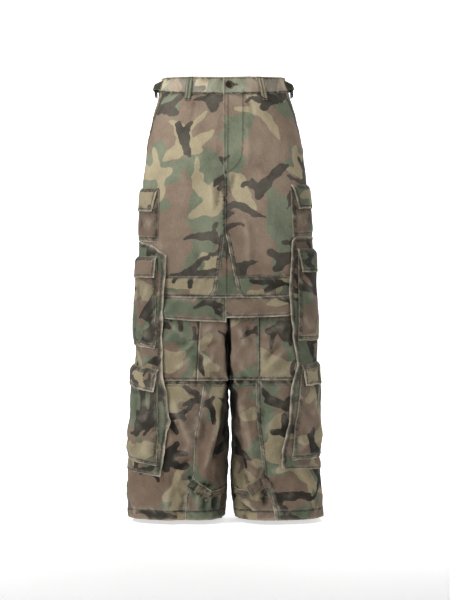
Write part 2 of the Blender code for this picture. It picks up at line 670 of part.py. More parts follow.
def cargoTable(side):
    # Outer face of a long side panel at the shared facet lines: flat on the leg, with its
    # free front edge standing off.
    along, z = np.meshgrid(FACET_COLUMNS, FACET_ROWS)
    rows = np.array(CARGO_EDGE[side])[::-1]
    edge = np.interp(z, rows[:, 0], rows[:, 1])
    wave = 0.75 + 0.25 * np.sin(z * EDGE_WAVE + side)
    lift = onTop() + CARGO_PROUD * wave * nearLine(edge - along, 0.0, PANEL_RAMP)
    return lift[..., None]


CARGO_TABLE = {side: cargoTable(side) for side in (RIGHT, LEFT)}


def cargoLift(side, along, z):
    # The same between the lines.
    return facetValue(CARGO_TABLE[side], FACET_ROWS, along, z)[:, 0]


def buildSidePanels():
    for side, label in SIDE_NAMES.items():
        clothPiece("side_panel_" + label, side, atAlong(*CARGO_EDGE[side]),
                   atAlong((0.0, CARGO_BACK), (-2.0, CARGO_BACK)), CARGO_TOP[side],
                   CARGO_END[side], cargoLift)


def pocketBase(place, side, along, z):
    # Outer face of what a pocket lies on.
    return cargoLift(side, along, z) if place != "hip" else np.zeros(np.shape(z))


def buildPockets():
    for (place, side), (topAlong, endAlong, back, tops, ends, rise) in POCKETS.items():
        def bagLift(side, along, z, place=place):
            return pocketBase(place, side, along, z) + onTop()

        label = place + "_pocket_" + SIDE_NAMES[side]
        front = atAlong((tops[0], topAlong), (ends[0], endAlong))
        rear = atAlong((0.0, back), (-2.0, back))
        top = level((topAlong, tops[0]), (0.0, tops[1]), (back, tops[1]))
        bottom = level((endAlong, ends[0]), (0.0, ends[1]), (back, ends[1]))
        clothPiece(label, side, front, rear, top, bottom, bagLift, rise=rise)

    for (place, side), (topAlong, endAlong, back, tops, ends) in FLAPS.items():
        rise = POCKETS[place, side][5]
        top = level((topAlong, tops[0]), (0.0, tops[1]), (back, tops[1]))

        def flapLift(side, along, z, place=place, top=top, rise=rise):
            below = top(along) - z
            over = smooth(below / 0.004)
            return pocketBase(place, side, along, z) + onTop() * (1 + over) + rise * smooth(below / 0.012)

        label = place + "_flap_" + SIDE_NAMES[side]
        front = atAlong((tops[0], topAlong), (ends[0], endAlong))
        rear = atAlong((0.0, back), (-2.0, back))
        bottom = level((endAlong, ends[0]), (0.0, ends[1]), (back, ends[1]))
        clothPiece(label, side, front, rear, top, bottom, flapLift, nearTop=(0.0045, 0.012))


def buildLoops():
    # Belt loops lie flat on the waistband, with a low arch between their two tacked ends.
    def loop(name, side, middle, top, bottom):
        def arch(along, z):
            return BAND_PROUD + onTop() + LOOP_ARCH * np.sin(math.pi * (top - z) / (top - bottom))

        half = LOOP_WIDTH / 2
        corners = ((middle + half, top), (middle - half, top), (middle - half, bottom),
                   (middle + half, bottom))
        patch(name, side, corners, arch, columns=2, lines=4)

    for side, label in SIDE_NAMES.items():
        loop("belt_loop_front_" + label, side, FRONT_LOOP[side], -0.0120, -0.0680)
        loop("belt_loop_back_" + label, side, BACK_LOOP, 0.0010, -0.0500)
    centre = float(backEnd(LEFT, np.array([-0.025]), BODY)[0])
    loop("belt_loop_centre", LEFT, centre, 0.0020, -0.0500)


def buildLegTabs():
    # A tab from the shin's seam and a strap from the inner side meet and hold the gather.
    tabs = {
        RIGHT: (((0.2070, -0.9623), (0.2540, -0.9990), (0.2400, -1.0200), (0.1930, -0.9840)),
                ((0.3000, -0.9870), (0.2450, -0.9960), (0.2430, -1.0130), (0.3000, -1.0030))),
        LEFT: (((0.1890, -0.9549), (0.2310, -0.9833), (0.2200, -1.0090), (0.1740, -0.9805)),
               ((0.2900, -0.9880), (0.2280, -0.9925), (0.2250, -1.0090), (0.2900, -1.0040))),
    }
    for side, (tab, strap) in tabs.items():
        overlap = strap[1][0] - 0.004

        def tabLift(along, z, overlap=overlap):
            return TAB_LIFT + onTop() * smooth((along - overlap + 0.014) / 0.014)

        patch("leg_tab_" + SIDE_NAMES[side], side, tab, tabLift, columns=4)
        patch("leg_strap_" + SIDE_NAMES[side], side, strap, lambda along, z: STRAP_LIFT + 0 * z,
              columns=6)


def buildAdjusters():
    # A strap over a slide buckle at each end of the waistband.
    middle = -0.010
    strapTop, strapEnd, buckleTop = -0.0145, -0.0360, -0.0325
    stand = 0.0125

    def strapLift(along, z):
        arch = nearLine(np.abs(along - middle), 0.018, 0.024)
        slope = smooth((strapTop + 0.004 - z) / 0.016)
        return BAND_PROUD + onTop() + stand * arch * slope

    def buckleLift(along, z):
        return BAND_PROUD + onTop() + stand - CLOTH - LAY_GAP - 0.30 * (buckleTop - z)

    for side, label in SIDE_NAMES.items():
        corners = ((0.034, strapTop), (-0.056, strapTop), (-0.056, strapEnd), (0.034, strapEnd))
        patch("adjuster_strap_" + label, side, corners, strapLift, columns=9, lines=3)
        body, i, j, outside = frame(0.5)
        along = middle + np.array([-0.016, -0.009, 0.009, 0.016])[i]
        z = buckleTop - np.array([0.0, 0.005, 0.013, 0.019])[j]
        position = onForm(side, along, z, buckleLift(along, z) - 0.003 * (1 - outside))
        finishPiece("adjuster_buckle_" + label, body, position, "black_buckle")


def frame(size):
    # A square slab of three by three faces with its middle cut out.
    body = bmesh.new()
    bmesh.ops.create_grid(body, x_segments=3, y_segments=3, size=size)
    middle = min(body.faces, key=lambda face: face.calc_center_median().length)
    bmesh.ops.delete(body, geom=[middle], context="FACES_ONLY")
    layer = bmesh.ops.extrude_face_region(body, geom=body.faces[:], use_keep_orig=True)
    for vert in layer["geom"]:
        if isinstance(vert, bmesh.types.BMVert):
            vert.co.z = 1.0
    co = np.array([v.co for v in body.verts])
    i = np.rint((co[:, 0] / size + 1) * 1.5).astype(int)
    j = np.rint((co[:, 1] / size + 1) * 1.5).astype(int)
    return body, i, j, co[:, 2]


def buildButton():
    # A turned shank button on the fly's end of the waistband.
    radius, thick, x, z = 0.0090, 0.0035, 0.0085, -0.0315
    profile = ((0.0, 1.0), (0.62, 0.92), (0.72, 1.0), (0.9, 0.95), (1.0, 0.55), (0.92, 0.0), (0.0, 0.0))
    mesh = bpy.data.meshes.new("waist_button")
    mesh.from_pydata([(radius * r, 0.0, thick * h) for r, h in profile],
                     [(k, k + 1) for k in range(len(profile) - 1)], [])
    button = bpy.data.objects.new("waist_button", mesh)
    PARTS.objects.link(button)
    turn = button.modifiers.new("turn", "SCREW")
    turn.axis = "Z"
    turn.steps = turn.render_steps = 24
    turn.use_merge_vertices = True
    turn.merge_threshold = 0.00005
    along = alongAtX(LEFT, x, z, BODY)
    seat = onForm(LEFT, along, z, BAND_PROUD + SEAM_GAP)[0]
    outward = onForm(LEFT, along, z, 1.0)[0] - onForm(LEFT, along, z, 0.0)[0]
    button.location = seat
    button.rotation_euler = Vector(outward).to_track_quat("Z", "Y").to_euler()
    button.data.materials.append(makeMaterial("aged_metal"))


# ---------------------------------------------------------------- build
for old in list(bpy.data.objects):
    bpy.data.objects.remove(old)
PARTS = bpy.data.collections.new(OBJECT_NAME)
bpy.context.scene.collection.children.link(PARTS)
SIDE_NAMES = {RIGHT: "right", LEFT: "left"}

buildWaistbands()
buildUpperFronts()
buildBands()
buildLegs()
buildSidePanels()
buildPockets()
buildLoops()
buildLegTabs()
buildAdjusters()
buildButton()
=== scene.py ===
import json
import math
import bpy
import numpy as np
from mathutils import Matrix, Vector

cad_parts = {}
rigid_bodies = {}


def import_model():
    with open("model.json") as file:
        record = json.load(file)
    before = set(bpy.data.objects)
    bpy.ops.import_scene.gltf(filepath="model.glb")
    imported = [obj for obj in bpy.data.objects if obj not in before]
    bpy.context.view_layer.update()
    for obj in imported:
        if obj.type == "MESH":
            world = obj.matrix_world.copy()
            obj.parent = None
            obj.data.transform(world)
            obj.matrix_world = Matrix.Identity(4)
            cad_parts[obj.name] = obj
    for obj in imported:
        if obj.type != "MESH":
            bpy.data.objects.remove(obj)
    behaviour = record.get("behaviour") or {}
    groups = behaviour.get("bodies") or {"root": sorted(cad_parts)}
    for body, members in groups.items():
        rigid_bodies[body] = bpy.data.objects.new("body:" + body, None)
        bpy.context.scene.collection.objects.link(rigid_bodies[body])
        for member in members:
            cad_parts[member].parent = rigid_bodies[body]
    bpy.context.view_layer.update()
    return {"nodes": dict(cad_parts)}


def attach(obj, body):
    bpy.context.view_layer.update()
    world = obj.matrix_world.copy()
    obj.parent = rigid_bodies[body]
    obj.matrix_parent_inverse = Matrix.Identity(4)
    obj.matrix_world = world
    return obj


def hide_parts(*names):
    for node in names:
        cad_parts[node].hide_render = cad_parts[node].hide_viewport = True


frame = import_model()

# Wide-leg cargo trousers in washed camouflage twill, filled out as if worn.
# Metres, the front faces -Y, and the wearer's right is -X.
print("frame loaded:", len(frame["nodes"]), "nodes")

right, left = -1, 1
sideNames = {right: "right", left: "left"}

cut = {
    "wall": 0.0014,          # washed twill
    "bandWall": 0.0024,      # the waistband is doubled
    "seamLap": 0.0012,       # pieces that meet run on past their line by half of this
    "layGap": 0.0009,        # under a piece that lies on another
    "underlap": 0.009,
    "crotch": -0.574,
    "hem": -1.064,
    "flyX": -0.0045,
    "flyEnd": -0.243,
    "bandProud": 0.0008,
    "overCentre": 0.045,     # each half's form runs on past the centre line
    "formTop": 0.012,
    "bodyEnd": -0.6094,
    "legEnd": -1.07,
    "edgeTurn": 0.0013,      # how far in a cut edge is rounded over
    "threadLift": 0.00012,   # stitches stand this far off the cloth
}

# Outer reach of the form: height, right side, left side
reach = ((0.012, 0.147, 0.139), (-0.02, 0.157, 0.147), (-0.05, 0.163, 0.156),
         (-0.1, 0.177, 0.171), (-0.18, 0.19, 0.187), (-0.3, 0.203, 0.2),
         (-0.45, 0.208, 0.211), (-0.6, 0.213, 0.216), (-0.75, 0.218, 0.219),
         (-0.88, 0.227, 0.224), (-0.99, 0.236, 0.231), (-1.07, 0.233, 0.235))
# Half depths and corner shape: height, front, back, start of the side curve, squareness
depth = ((0.012, 0.087, 0.098, 0.02, 2.15), (-0.05, 0.093, 0.106, 0.025, 2.2),
         (-0.13, 0.101, 0.118, 0.035, 2.25), (-0.23, 0.107, 0.125, 0.045, 2.3),
         (-0.36, 0.11, 0.12, 0.05, 2.35), (-0.5, 0.11, 0.112, 0.055, 2.4),
         (-0.64, 0.107, 0.109, 0.06, 2.4), (-0.8, 0.1, 0.103, 0.075, 2.4),
         (-0.95, 0.092, 0.097, 0.1, 2.35), (-1.07, 0.088, 0.092, 0.115, 2.3))
# Centre line of the one tube: height, x
centre = ((0.012, -0.001), (-0.4, -0.001), (-0.54, 0.0012), (-0.62, 0.0012))
# Inner walls of the legs: height, right leg x, left leg x, width of the round corners
inseam = ((-0.574, 0.0058, 0.0074, 0.009), (-0.74, 0.0058, 0.0074, 0.011),
          (-0.765, 0.0055, 0.015, 0.02), (-0.9, 0.004, 0.0178, 0.052),
          (-0.985, 0.001, 0.0145, 0.064), (-1.025, -0.0005, 0.019, 0.068),
          (-1.07, -0.004, 0.025, 0.07))
# The gap between the knees bends as it goes back, so nothing shows through it
kneeBend = {"reach": 0.0045, "turns": 38, "end": -0.765, "ramp": 0.02, "corner": 0.012}
# How closely the form is worked out
formGrid = {"rowStep": 0.003, "reach": 0.6, "columns": 481, "cornerPoints": 60, "endMargin": 0.003}

# Largest folds, the same as in the cut: start, end, half width, rise. A point is a distance
# along the cloth from the side line, positive to the front, and a height.
folds = {right: (
    (((0.17, -0.23), (0.15, -0.4)), 0.022, 0.004),
    (((0.215, -0.33), (0.185, -0.56)), 0.018, -0.0035),
    (((0.11, -0.11), (0.15, -0.23)), 0.022, -0.003),
    (((-0.14, -0.2), (-0.15, -0.46)), 0.024, 0.0055),
    (((-0.21, -0.3), (-0.19, -0.64)), 0.024, -0.005),
    (((0.175, -0.78), (0.15, -0.96)), 0.018, 0.0045),
    (((0.215, -0.76), (0.205, -0.93)), 0.018, -0.004),
    (((-0.15, -0.7), (-0.155, -1.05)), 0.024, 0.006),
    (((-0.21, -0.72), (-0.205, -1.0)), 0.022, -0.005),
), left: (
    (((0.165, -0.24), (0.148, -0.42)), 0.022, 0.004),
    (((0.205, -0.3), (0.18, -0.54)), 0.018, -0.0035),
    (((0.105, -0.11), (0.145, -0.22)), 0.022, -0.003),
    (((-0.145, -0.22), (-0.155, -0.5)), 0.024, 0.0055),
    (((-0.215, -0.28), (-0.195, -0.62)), 0.024, -0.005),
    (((0.17, -0.78), (0.16, -0.94)), 0.018, 0.0045),
    (((0.215, -0.77), (0.22, -0.92)), 0.018, -0.004),
    (((-0.15, -0.72), (-0.16, -1.05)), 0.024, 0.006),
    (((-0.205, -0.7), (-0.2, -1.02)), 0.022, -0.005),
)}

# Smaller creases: points on the line, half width, rise
creaseScale = 2.9
creases = {right: (
    # upper fronts: long soft falls beside the fly and over the thighs
    (((0.223, -0.241), (0.232, -0.3), (0.239, -0.345)), 0.007, 0.0016),
    (((0.243, -0.261), (0.246, -0.3), (0.245, -0.331)), 0.006, -0.0018),
    (((0.2, -0.42), (0.212, -0.455), (0.218, -0.484)), 0.007, -0.0014),
    (((0.108, -0.4), (0.118, -0.44), (0.139, -0.478)), 0.009, 0.0016),
    (((0.14, -0.06), (0.15, -0.085), (0.155, -0.12)), 0.006, -0.001),
    # knee
    (((0.139, -0.592), (0.158, -0.612), (0.184, -0.634)), 0.006, 0.0022),
    (((0.15, -0.676), (0.178, -0.66), (0.208, -0.634)), 0.006, 0.0022),
    (((0.146, -0.64), (0.17, -0.648), (0.196, -0.64)), 0.005, -0.0018),
    (((0.151, -0.708), (0.176, -0.694), (0.2, -0.668)), 0.006, 0.0018),
    (((0.218, -0.7), (0.236, -0.688), (0.256, -0.673)), 0.007, 0.0022),
    (((0.218, -0.63), (0.232, -0.614), (0.248, -0.604)), 0.006, 0.002),
    (((0.222, -0.652), (0.24, -0.648), (0.262, -0.64)), 0.006, -0.0018),
    (((0.275, -0.61), (0.285, -0.65), (0.282, -0.7)), 0.008, -0.002),
    # shin
    (((0.147, -0.765), (0.169, -0.815), (0.196, -0.871), (0.203, -0.905)), 0.008, 0.0034),
    (((0.146, -0.815), (0.156, -0.842), (0.164, -0.868)), 0.007, -0.0034),
    (((0.2, -0.885), (0.18, -0.905), (0.154, -0.925)), 0.007, 0.003),
    (((0.198, -0.912), (0.182, -0.93), (0.164, -0.95)), 0.006, -0.0026),
    (((0.262, -0.8), (0.254, -0.857), (0.243, -0.9), (0.232, -0.962)), 0.006, 0.0036),
    (((0.276, -0.84), (0.268, -0.88), (0.25, -0.94)), 0.008, -0.0036),
    (((0.222, -0.8), (0.228, -0.85), (0.222, -0.9)), 0.007, -0.0022),
    (((0.226, -0.975), (0.24, -0.985), (0.262, -0.98)), 0.006, -0.0034),
    (((0.226, -0.99), (0.221, -1.01), (0.218, -1.034)), 0.005, 0.0034),
    (((0.238, -1.0), (0.234, -1.02), (0.231, -1.04)), 0.005, -0.0034),
    (((0.248, -0.989), (0.246, -1.014), (0.243, -1.04)), 0.005, 0.0036),
    (((0.262, -1.0), (0.261, -1.02), (0.258, -1.044)), 0.005, -0.0034),
    (((0.276, -0.996), (0.273, -1.02), (0.27, -1.046)), 0.006, 0.003),
    (((0.19, -0.99), (0.184, -1.02), (0.176, -1.06)), 0.007, -0.0026),
    (((0.16, -0.975), (0.15, -1.01), (0.146, -1.05)), 0.01, 0.0026),
    # seat and the backs of the thighs
    (((-0.25, -0.47), (-0.215, -0.505), (-0.15, -0.52)), 0.01, 0.0036),
    (((-0.25, -0.505), (-0.2, -0.535), (-0.13, -0.548)), 0.009, -0.0034),
    (((-0.12, -0.09), (-0.15, -0.13), (-0.2, -0.16)), 0.012, -0.0022),
    (((-0.18, -0.26), (-0.19, -0.33), (-0.23, -0.4)), 0.012, 0.0026),
    # backs of the knees and calves
    (((-0.34, -0.64), (-0.27, -0.668), (-0.16, -0.69)), 0.01, 0.0036),
    (((-0.34, -0.672), (-0.26, -0.7), (-0.18, -0.712)), 0.009, -0.0034),
    (((-0.33, -0.745), (-0.24, -0.738), (-0.15, -0.75)), 0.01, 0.0034),
    (((-0.25, -0.8), (-0.272, -0.88), (-0.262, -0.98)), 0.011, 0.0032),
    (((-0.12, -0.85), (-0.18, -0.9), (-0.23, -0.985)), 0.011, -0.003),
    (((-0.23, -0.985), (-0.24, -1.02), (-0.238, -1.06)), 0.009, -0.003),
), left: (
    # upper fronts: long soft falls beside the fly and over the thighs
    (((0.176, -0.109), (0.19, -0.18), (0.204, -0.241)), 0.009, 0.0014),
    (((0.228, -0.236), (0.238, -0.262), (0.25, -0.3)), 0.006, -0.0016),
    (((0.222, -0.33), (0.214, -0.4), (0.216, -0.47)), 0.009, 0.0015),
    (((0.15, -0.062), (0.158, -0.085), (0.16, -0.115)), 0.006, -0.001),
    # knee
    (((0.243, -0.6), (0.236, -0.63), (0.222, -0.659)), 0.006, 0.0022),
    (((0.226, -0.596), (0.219, -0.626), (0.206, -0.65)), 0.005, -0.0018),
    (((0.19, -0.716), (0.165, -0.69), (0.133, -0.659)), 0.007, 0.0022),
    (((0.186, -0.686), (0.164, -0.664), (0.14, -0.64)), 0.006, -0.0018),
    (((0.19, -0.63), (0.16, -0.612), (0.13, -0.601)), 0.006, 0.002),
    (((0.25, -0.69), (0.232, -0.706), (0.212, -0.724)), 0.006, 0.0016),
    (((0.272, -0.61), (0.28, -0.65), (0.276, -0.7)), 0.008, -0.002),
    # shin
    (((0.248, -0.77), (0.226, -0.82), (0.217, -0.87), (0.216, -0.945)), 0.009, 0.0028),
    (((0.262, -0.86), (0.25, -0.91), (0.236, -0.96)), 0.008, -0.003),
    (((0.196, -0.946), (0.18, -0.968), (0.158, -0.992)), 0.006, -0.0036),
    (((0.202, -0.958), (0.193, -0.99), (0.182, -1.036)), 0.006, -0.0036),
    (((0.186, -0.962), (0.172, -0.99), (0.166, -1.03)), 0.006, 0.003),
    (((0.177, -0.95), (0.15, -0.944), (0.122, -0.93)), 0.008, 0.003),
    (((0.268, -0.993), (0.25, -1.012), (0.226, -1.029), (0.2, -1.046)), 0.006, 0.0034),
    (((0.256, -1.016), (0.236, -1.034), (0.216, -1.046)), 0.005, -0.003),
    (((0.236, -0.95), (0.232, -0.97), (0.224, -0.984)), 0.005, -0.003),
    (((0.15, -0.8), (0.172, -0.83), (0.186, -0.88)), 0.008, 0.0026),
    (((0.18, -0.78), (0.192, -0.83), (0.196, -0.9)), 0.008, -0.0024),
    # seat and the backs of the thighs
    (((-0.25, -0.475), (-0.205, -0.512), (-0.14, -0.522)), 0.01, 0.0036),
    (((-0.25, -0.512), (-0.195, -0.545), (-0.125, -0.552)), 0.009, -0.0034),
    (((-0.12, -0.095), (-0.155, -0.135), (-0.205, -0.16)), 0.012, -0.0022),
    (((-0.175, -0.25), (-0.188, -0.33), (-0.225, -0.41)), 0.012, 0.0026),
    # backs of the knees and calves
    (((-0.33, -0.65), (-0.25, -0.672), (-0.15, -0.684)), 0.01, 0.0036),
    (((-0.33, -0.69), (-0.24, -0.706), (-0.16, -0.722)), 0.009, -0.0034),
    (((-0.32, -0.755), (-0.23, -0.748), (-0.14, -0.76)), 0.01, 0.0034),
    (((-0.245, -0.81), (-0.262, -0.88), (-0.255, -0.99)), 0.011, 0.0032),
    (((-0.115, -0.86), (-0.17, -0.91), (-0.225, -0.995)), 0.011, -0.003),
    (((-0.225, -0.99), (-0.236, -1.02), (-0.236, -1.06)), 0.009, -0.003),
)}


def column(table, height, index):
    # Smooth value of one column of a table whose first column is the height
    rows = np.array(table)[::-1]
    xs = rows[:, 0]
    ys = rows[:, index]
    secants = np.diff(ys) / np.diff(xs)
    product = secants[:-1] * secants[1:]
    total = np.where(product > 0, secants[:-1] + secants[1:], 1.0)
    inner = np.where(product > 0, 2 * product / total, 0.0)
    slopes = np.concatenate([secants[:1], inner, secants[-1:]])
    z = np.clip(np.asarray(height, dtype=float), xs[0], xs[-1])
    k = np.clip(np.searchsorted(xs, z) - 1, 0, len(xs) - 2)
    span = xs[k + 1] - xs[k]
    t = (z - xs[k]) / span
    return (ys[k] * (1 + 2 * t) * (1 - t) ** 2 + slopes[k] * span * t * (1 - t) ** 2
            + ys[k + 1] * t * t * (3 - 2 * t) - slopes[k + 1] * span * t * t * (1 - t))


def smooth(t):
    t = np.clip(t, 0.0, 1.0)
    return t * t * (3 - 2 * t)


def hump(off, width):
    # 1 in the middle, falling away softly to both sides
    return np.exp(-(off / width) ** 2)


def latticeValue(i, j, seed):
    value = np.sin(i * 127.1 + j * 311.7 + seed * 74.7) * 43758.5453
    return 2 * (value - np.floor(value)) - 1


def softNoise(x, y, seed):
    # Smooth uneven value from -1 to 1, with one swell for each unit of x and y
    x, y = np.broadcast_arrays(np.asarray(x, dtype=float), np.asarray(y, dtype=float))
    i, j = np.floor(x), np.floor(y)
    a, b = smooth(x - i), smooth(y - j)
    low = latticeValue(i, j, seed) * (1 - a) + latticeValue(i + 1, j, seed) * a
    high = latticeValue(i, j + 1, seed) * (1 - a) + latticeValue(i + 1, j + 1, seed) * a
    return low * (1 - b) + high * b


def ringPath(side, z, isLeg):
    # Outline of the body's half or of one leg at a height, from its front end round to its back
    sideColumn = 1 if side == right else 2
    sideReach = side * float(column(reach, z, sideColumn))
    front, back, curveStart, square = (float(column(depth, z, i)) for i in (1, 2, 3, 4))
    turn = np.linspace(0, math.pi / 2, formGrid["cornerPoints"])
    power = 2 / square
    low = np.sin(turn) ** power
    high = np.cos(turn) ** power
    curveX = side * curveStart + (sideReach - side * curveStart) * low
    x = [curveX, curveX[::-1][1:]]
    y = [-front * high, (back * high)[::-1][1:]]
    if isLeg:
        wallX = float(column(inseam, z, sideColumn))
        corner = side * float(column(inseam, z, 3))
        cornerX = wallX + corner * (1 - high)
        x = [cornerX] + x + [cornerX[::-1]]
        y = [-front * low] + y + [(back * low)[::-1]]
        kneeShare = smooth((z - kneeBend["end"]) / kneeBend["ramp"])
        for part in (0, -1):
            onWall = smooth(1 - abs(x[part] - wallX) / kneeBend["corner"])
            bend = kneeBend["reach"] * np.sin(y[part] * kneeBend["turns"])
            x[part] = x[part] + bend * kneeShare * onWall
    else:
        middle = float(column(centre, z, 1))
        past = middle - side * cut["overCentre"]
        x = [[past, middle]] + x + [[middle, past]]
        y = [[-front, -front]] + y + [[back, back]]
    return np.concatenate(x), np.concatenate(y)


def alongPath(points, x, z):
    # Distance from a path of straight runs, and the share of the path where it is nearest
    x, z = np.broadcast_arrays(np.asarray(x, dtype=float), np.asarray(z, dtype=float))
    line = np.array(points)
    steps = np.hypot(*np.diff(line, axis=0).T)
    nearest = np.full(x.shape, 9.0)
    place = np.zeros(x.shape)
    passed = 0.0
    for start, run, length in zip(line, np.diff(line, axis=0), steps):
        t = ((x - start[0]) * run[0] + (z - start[1]) * run[1]) / length ** 2
        kept = np.clip(t, 0, 1)
        off = np.hypot(x - start[0] - kept * run[0], z - start[1] - kept * run[1])
        closer = off < nearest
        nearest = np.where(closer, off, nearest)
        place = np.where(closer, (passed + kept * length) / steps.sum(), place)
        passed += length
    return nearest, place


def creaseHeight(table, along, z):
    # Soft ridges and troughs along given lines, tapering at both ends
    total = np.zeros(np.broadcast(along, z).shape)
    taper = 0.3
    for points, width, rise in table:
        nearest, place = alongPath(points, along, z)
        ends = smooth(place / taper) * smooth((1 - place) / taper)
        total += rise * ends * np.exp(-(nearest / width) ** 1.5)
    return total


# Crumpling between the creases: how much there is above the thighs, where it grows, and the
# heights of its long, crossing and small ridges
crumple = {"least": 0.32, "start": -0.5, "ramp": 0.12, "long": 0.0022, "crossing": 0.0024, "small": 0.0009}


def crumpleHeight(side, along, z):
    # Ridged, slanting crumpling, stronger toward the hems
    loose = crumple["least"] + (1 - crumple["least"]) * smooth((crumple["start"] - z) / crumple["ramp"])

    def ridges(x, y, seed):
        return 1 - 2 * np.abs(softNoise(x + side, y, seed))

    long = ridges((along + 0.55 * z) / 0.034, (z - 0.4 * along) / 0.075, 3)
    crossing = ridges((along - 0.7 * z) / 0.046, (z + 0.5 * along) / 0.1, 9)
    small = ridges((along + 0.3 * z) / 0.017, (z - 0.8 * along) / 0.03, 15)
    small = crumple["small"] * loose * small
    return loose * (crumple["long"] * long + crumple["crossing"] * crossing + small)


def foldHeight(side, along, z):
    total = np.zeros(np.broadcast(along, z).shape)
    past, ramp = 0.15, 0.45
    for (start, end), width, rise in folds[side]:
        run = np.array(end) - np.array(start)
        length = math.hypot(*run)
        t = ((along - start[0]) * run[0] + (z - start[1]) * run[1]) / length ** 2
        off = ((along - start[0]) * run[1] - (z - start[1]) * run[0]) / length
        ends = smooth((t + past) / ramp) * smooth((1 + past - t) / ramp)
        total += rise * ends * hump(off, width)
    total += creaseScale * creaseHeight(creases[side], along, z) + crumpleHeight(side, along, z)
    total += 0.0008 * softNoise(along / 0.06 + side, z / 0.085, 4)
    return total + 0.00035 * softNoise(along / 0.013 + side, z / 0.016, 5)


def tableNormals(form):
    alongCloth = np.gradient(form["points"], axis=1)
    down = np.gradient(form["points"], axis=0)
    normals = np.cross(alongCloth, down) * form["side"]
    length = np.linalg.norm(normals, axis=2)
    margin = formGrid["endMargin"] - form["past"]
    stations = form["stations"]
    for row, end in enumerate(form["ends"]):
        inside = np.nonzero((stations <= end[0] - margin) & (stations >= end[1] + margin))[0]
        nearest = np.clip(np.arange(len(stations)), inside[0], inside[-1])
        normals[row] = normals[row][nearest]
        length[row] = length[row][nearest]
    return normals / length[..., None]


def buildForm(side, top, bottom, isLeg):
    # Table of the outer face: rows by height, columns by distance from the side line
    heights = np.linspace(top, bottom, int(round((top - bottom) / formGrid["rowStep"])) + 1)
    stations = np.linspace(-formGrid["reach"], formGrid["reach"], formGrid["columns"])
    points = np.zeros((len(heights), len(stations), 3))
    ends = np.zeros((len(heights), 2))
    for i, z in enumerate(heights):
        x, y = ringPath(side, z, isLeg)
        run = np.concatenate([[0], np.cumsum(np.hypot(np.diff(x), np.diff(y)))])
        sideRun = run[int(np.argmax(side * x))]
        for axis, values in enumerate((x, y)):
            points[i, :, axis] = np.interp(sideRun - stations, run, values)
        points[i, :, 2] = z
        past = 0 if isLeg else 1
        ends[i] = (sideRun - run[past], sideRun - run[-1 - past])
    form = {"side": side, "heights": heights, "stations": stations, "points": points,
            "ends": ends, "past": 0.0 if isLeg else cut["overCentre"]}
    form["normals"] = tableNormals(form)
    rise = foldHeight(side, stations[None, :], heights[:, None])
    form["points"] = points + form["normals"] * rise[..., None]
    form["normals"] = tableNormals(form)
    return form


body = {side: buildForm(side, cut["formTop"], cut["bodyEnd"], False) for side in (right, left)}
leg = {side: buildForm(side, cut["crotch"], cut["legEnd"], True) for side in (right, left)}
print("form built")


def sample(form, table, along, z):
    heights = form["heights"]
    stations = form["stations"]
    row = np.clip((heights[0] - z) / (heights[0] - heights[-1]), 0, 1) * (len(heights) - 1)
    col = np.clip((along - stations[0]) / (stations[-1] - stations[0]), 0, 1) * (len(stations) - 1)
    i = np.minimum(row.astype(int), len(heights) - 2)
    j = np.minimum(col.astype(int), len(stations) - 2)
    a = (row - i)[..., None]
    b = (col - j)[..., None]
    values = form[table]
    return ((values[i, j] * (1 - b) + values[i, j + 1] * b) * (1 - a)
            + (values[i + 1, j] * (1 - b) + values[i + 1, j + 1] * b) * a)


def onForm(side, along, z, lift, tube=None):
    # World points and outward normals at places on the cloth
    along, z, lift = (np.atleast_1d(value).astype(float) for value in np.broadcast_arrays(along, z, lift))
    isBody = np.full(z.shape, tube is body) if tube else z > cut["crotch"]
    points = np.zeros(along.shape + (3,))
    normals = np.zeros(along.shape + (3,))
    for form, chosen in ((body[side], isBody), (leg[side], ~isBody)):
        if not chosen.any():
            continue
        normal = sample(form, "normals", along[chosen], z[chosen])
        normal /= np.linalg.norm(normal, axis=-1)[..., None]
        normals[chosen] = normal
        lifted = normal * lift[chosen][..., None]
        points[chosen] = sample(form, "points", along[chosen], z[chosen]) + lifted
    return points, normals


def bodyX(side, along, z):
    return onForm(side, along.ravel(), z.ravel(), 0.0, body)[0][:, 0].reshape(z.shape)


# edges of the pieces, as distances from the side line or as heights
def rowsOf(side, tube):
    if tube:
        return [(tube[side], i) for i in range(len(tube[side]["heights"]))]
    upper = [(body[side], i) for i, z in enumerate(body[side]["heights"]) if z > cut["crotch"]]
    return upper + [(leg[side], i) for i in range(len(leg[side]["heights"]))]


def cachedLine(valueOf):
    # A line worked out once for each side and tube, then read by height
    tables = {}

    def line(side, z, tube=None):
        key = (side, id(tube))
        if key not in tables:
            rows = rowsOf(side, tube)
            tables[key] = (np.array([form["heights"][i] for form, i in rows]),
                           np.array([valueOf(side, form, i) for form, i in rows]))
        heights, values = tables[key]
        return np.interp(-np.asarray(z, dtype=float), -heights, values)
    return line


def alongAtX(side, form, i, x):
    # Where the front of one row of the form reaches x, as a distance from the side line
    ahead = form["stations"] >= 0
    outward = np.minimum.accumulate(side * form["points"][i, ahead, 0])
    return np.interp(-side * x, -outward, form["stations"][ahead])


def atX(*rows):
    # Through front points: height, x
    table = np.array(rows)[::-1]

    def valueOf(side, form, i):
        return alongAtX(side, form, i, np.interp(form["heights"][i], table[:, 0], table[:, 1]))
    return cachedLine(valueOf)


def atAlong(*rows):
    table = np.array(rows)[::-1]
    return lambda side, z, tube=None: np.interp(z, table[:, 0], table[:, 1])


frontEnd = cachedLine(lambda side, form, i: form["ends"][i, 0])
backEnd = cachedLine(lambda side, form, i: form["ends"][i, 1])


def sideLine(side, z, tube=None):
    return np.zeros(np.shape(z))


def level(*rows):
    if len(rows) == 1:
        return lambda along: np.full(np.shape(along), rows[0])
    return lambda along: column(rows, along, 1)


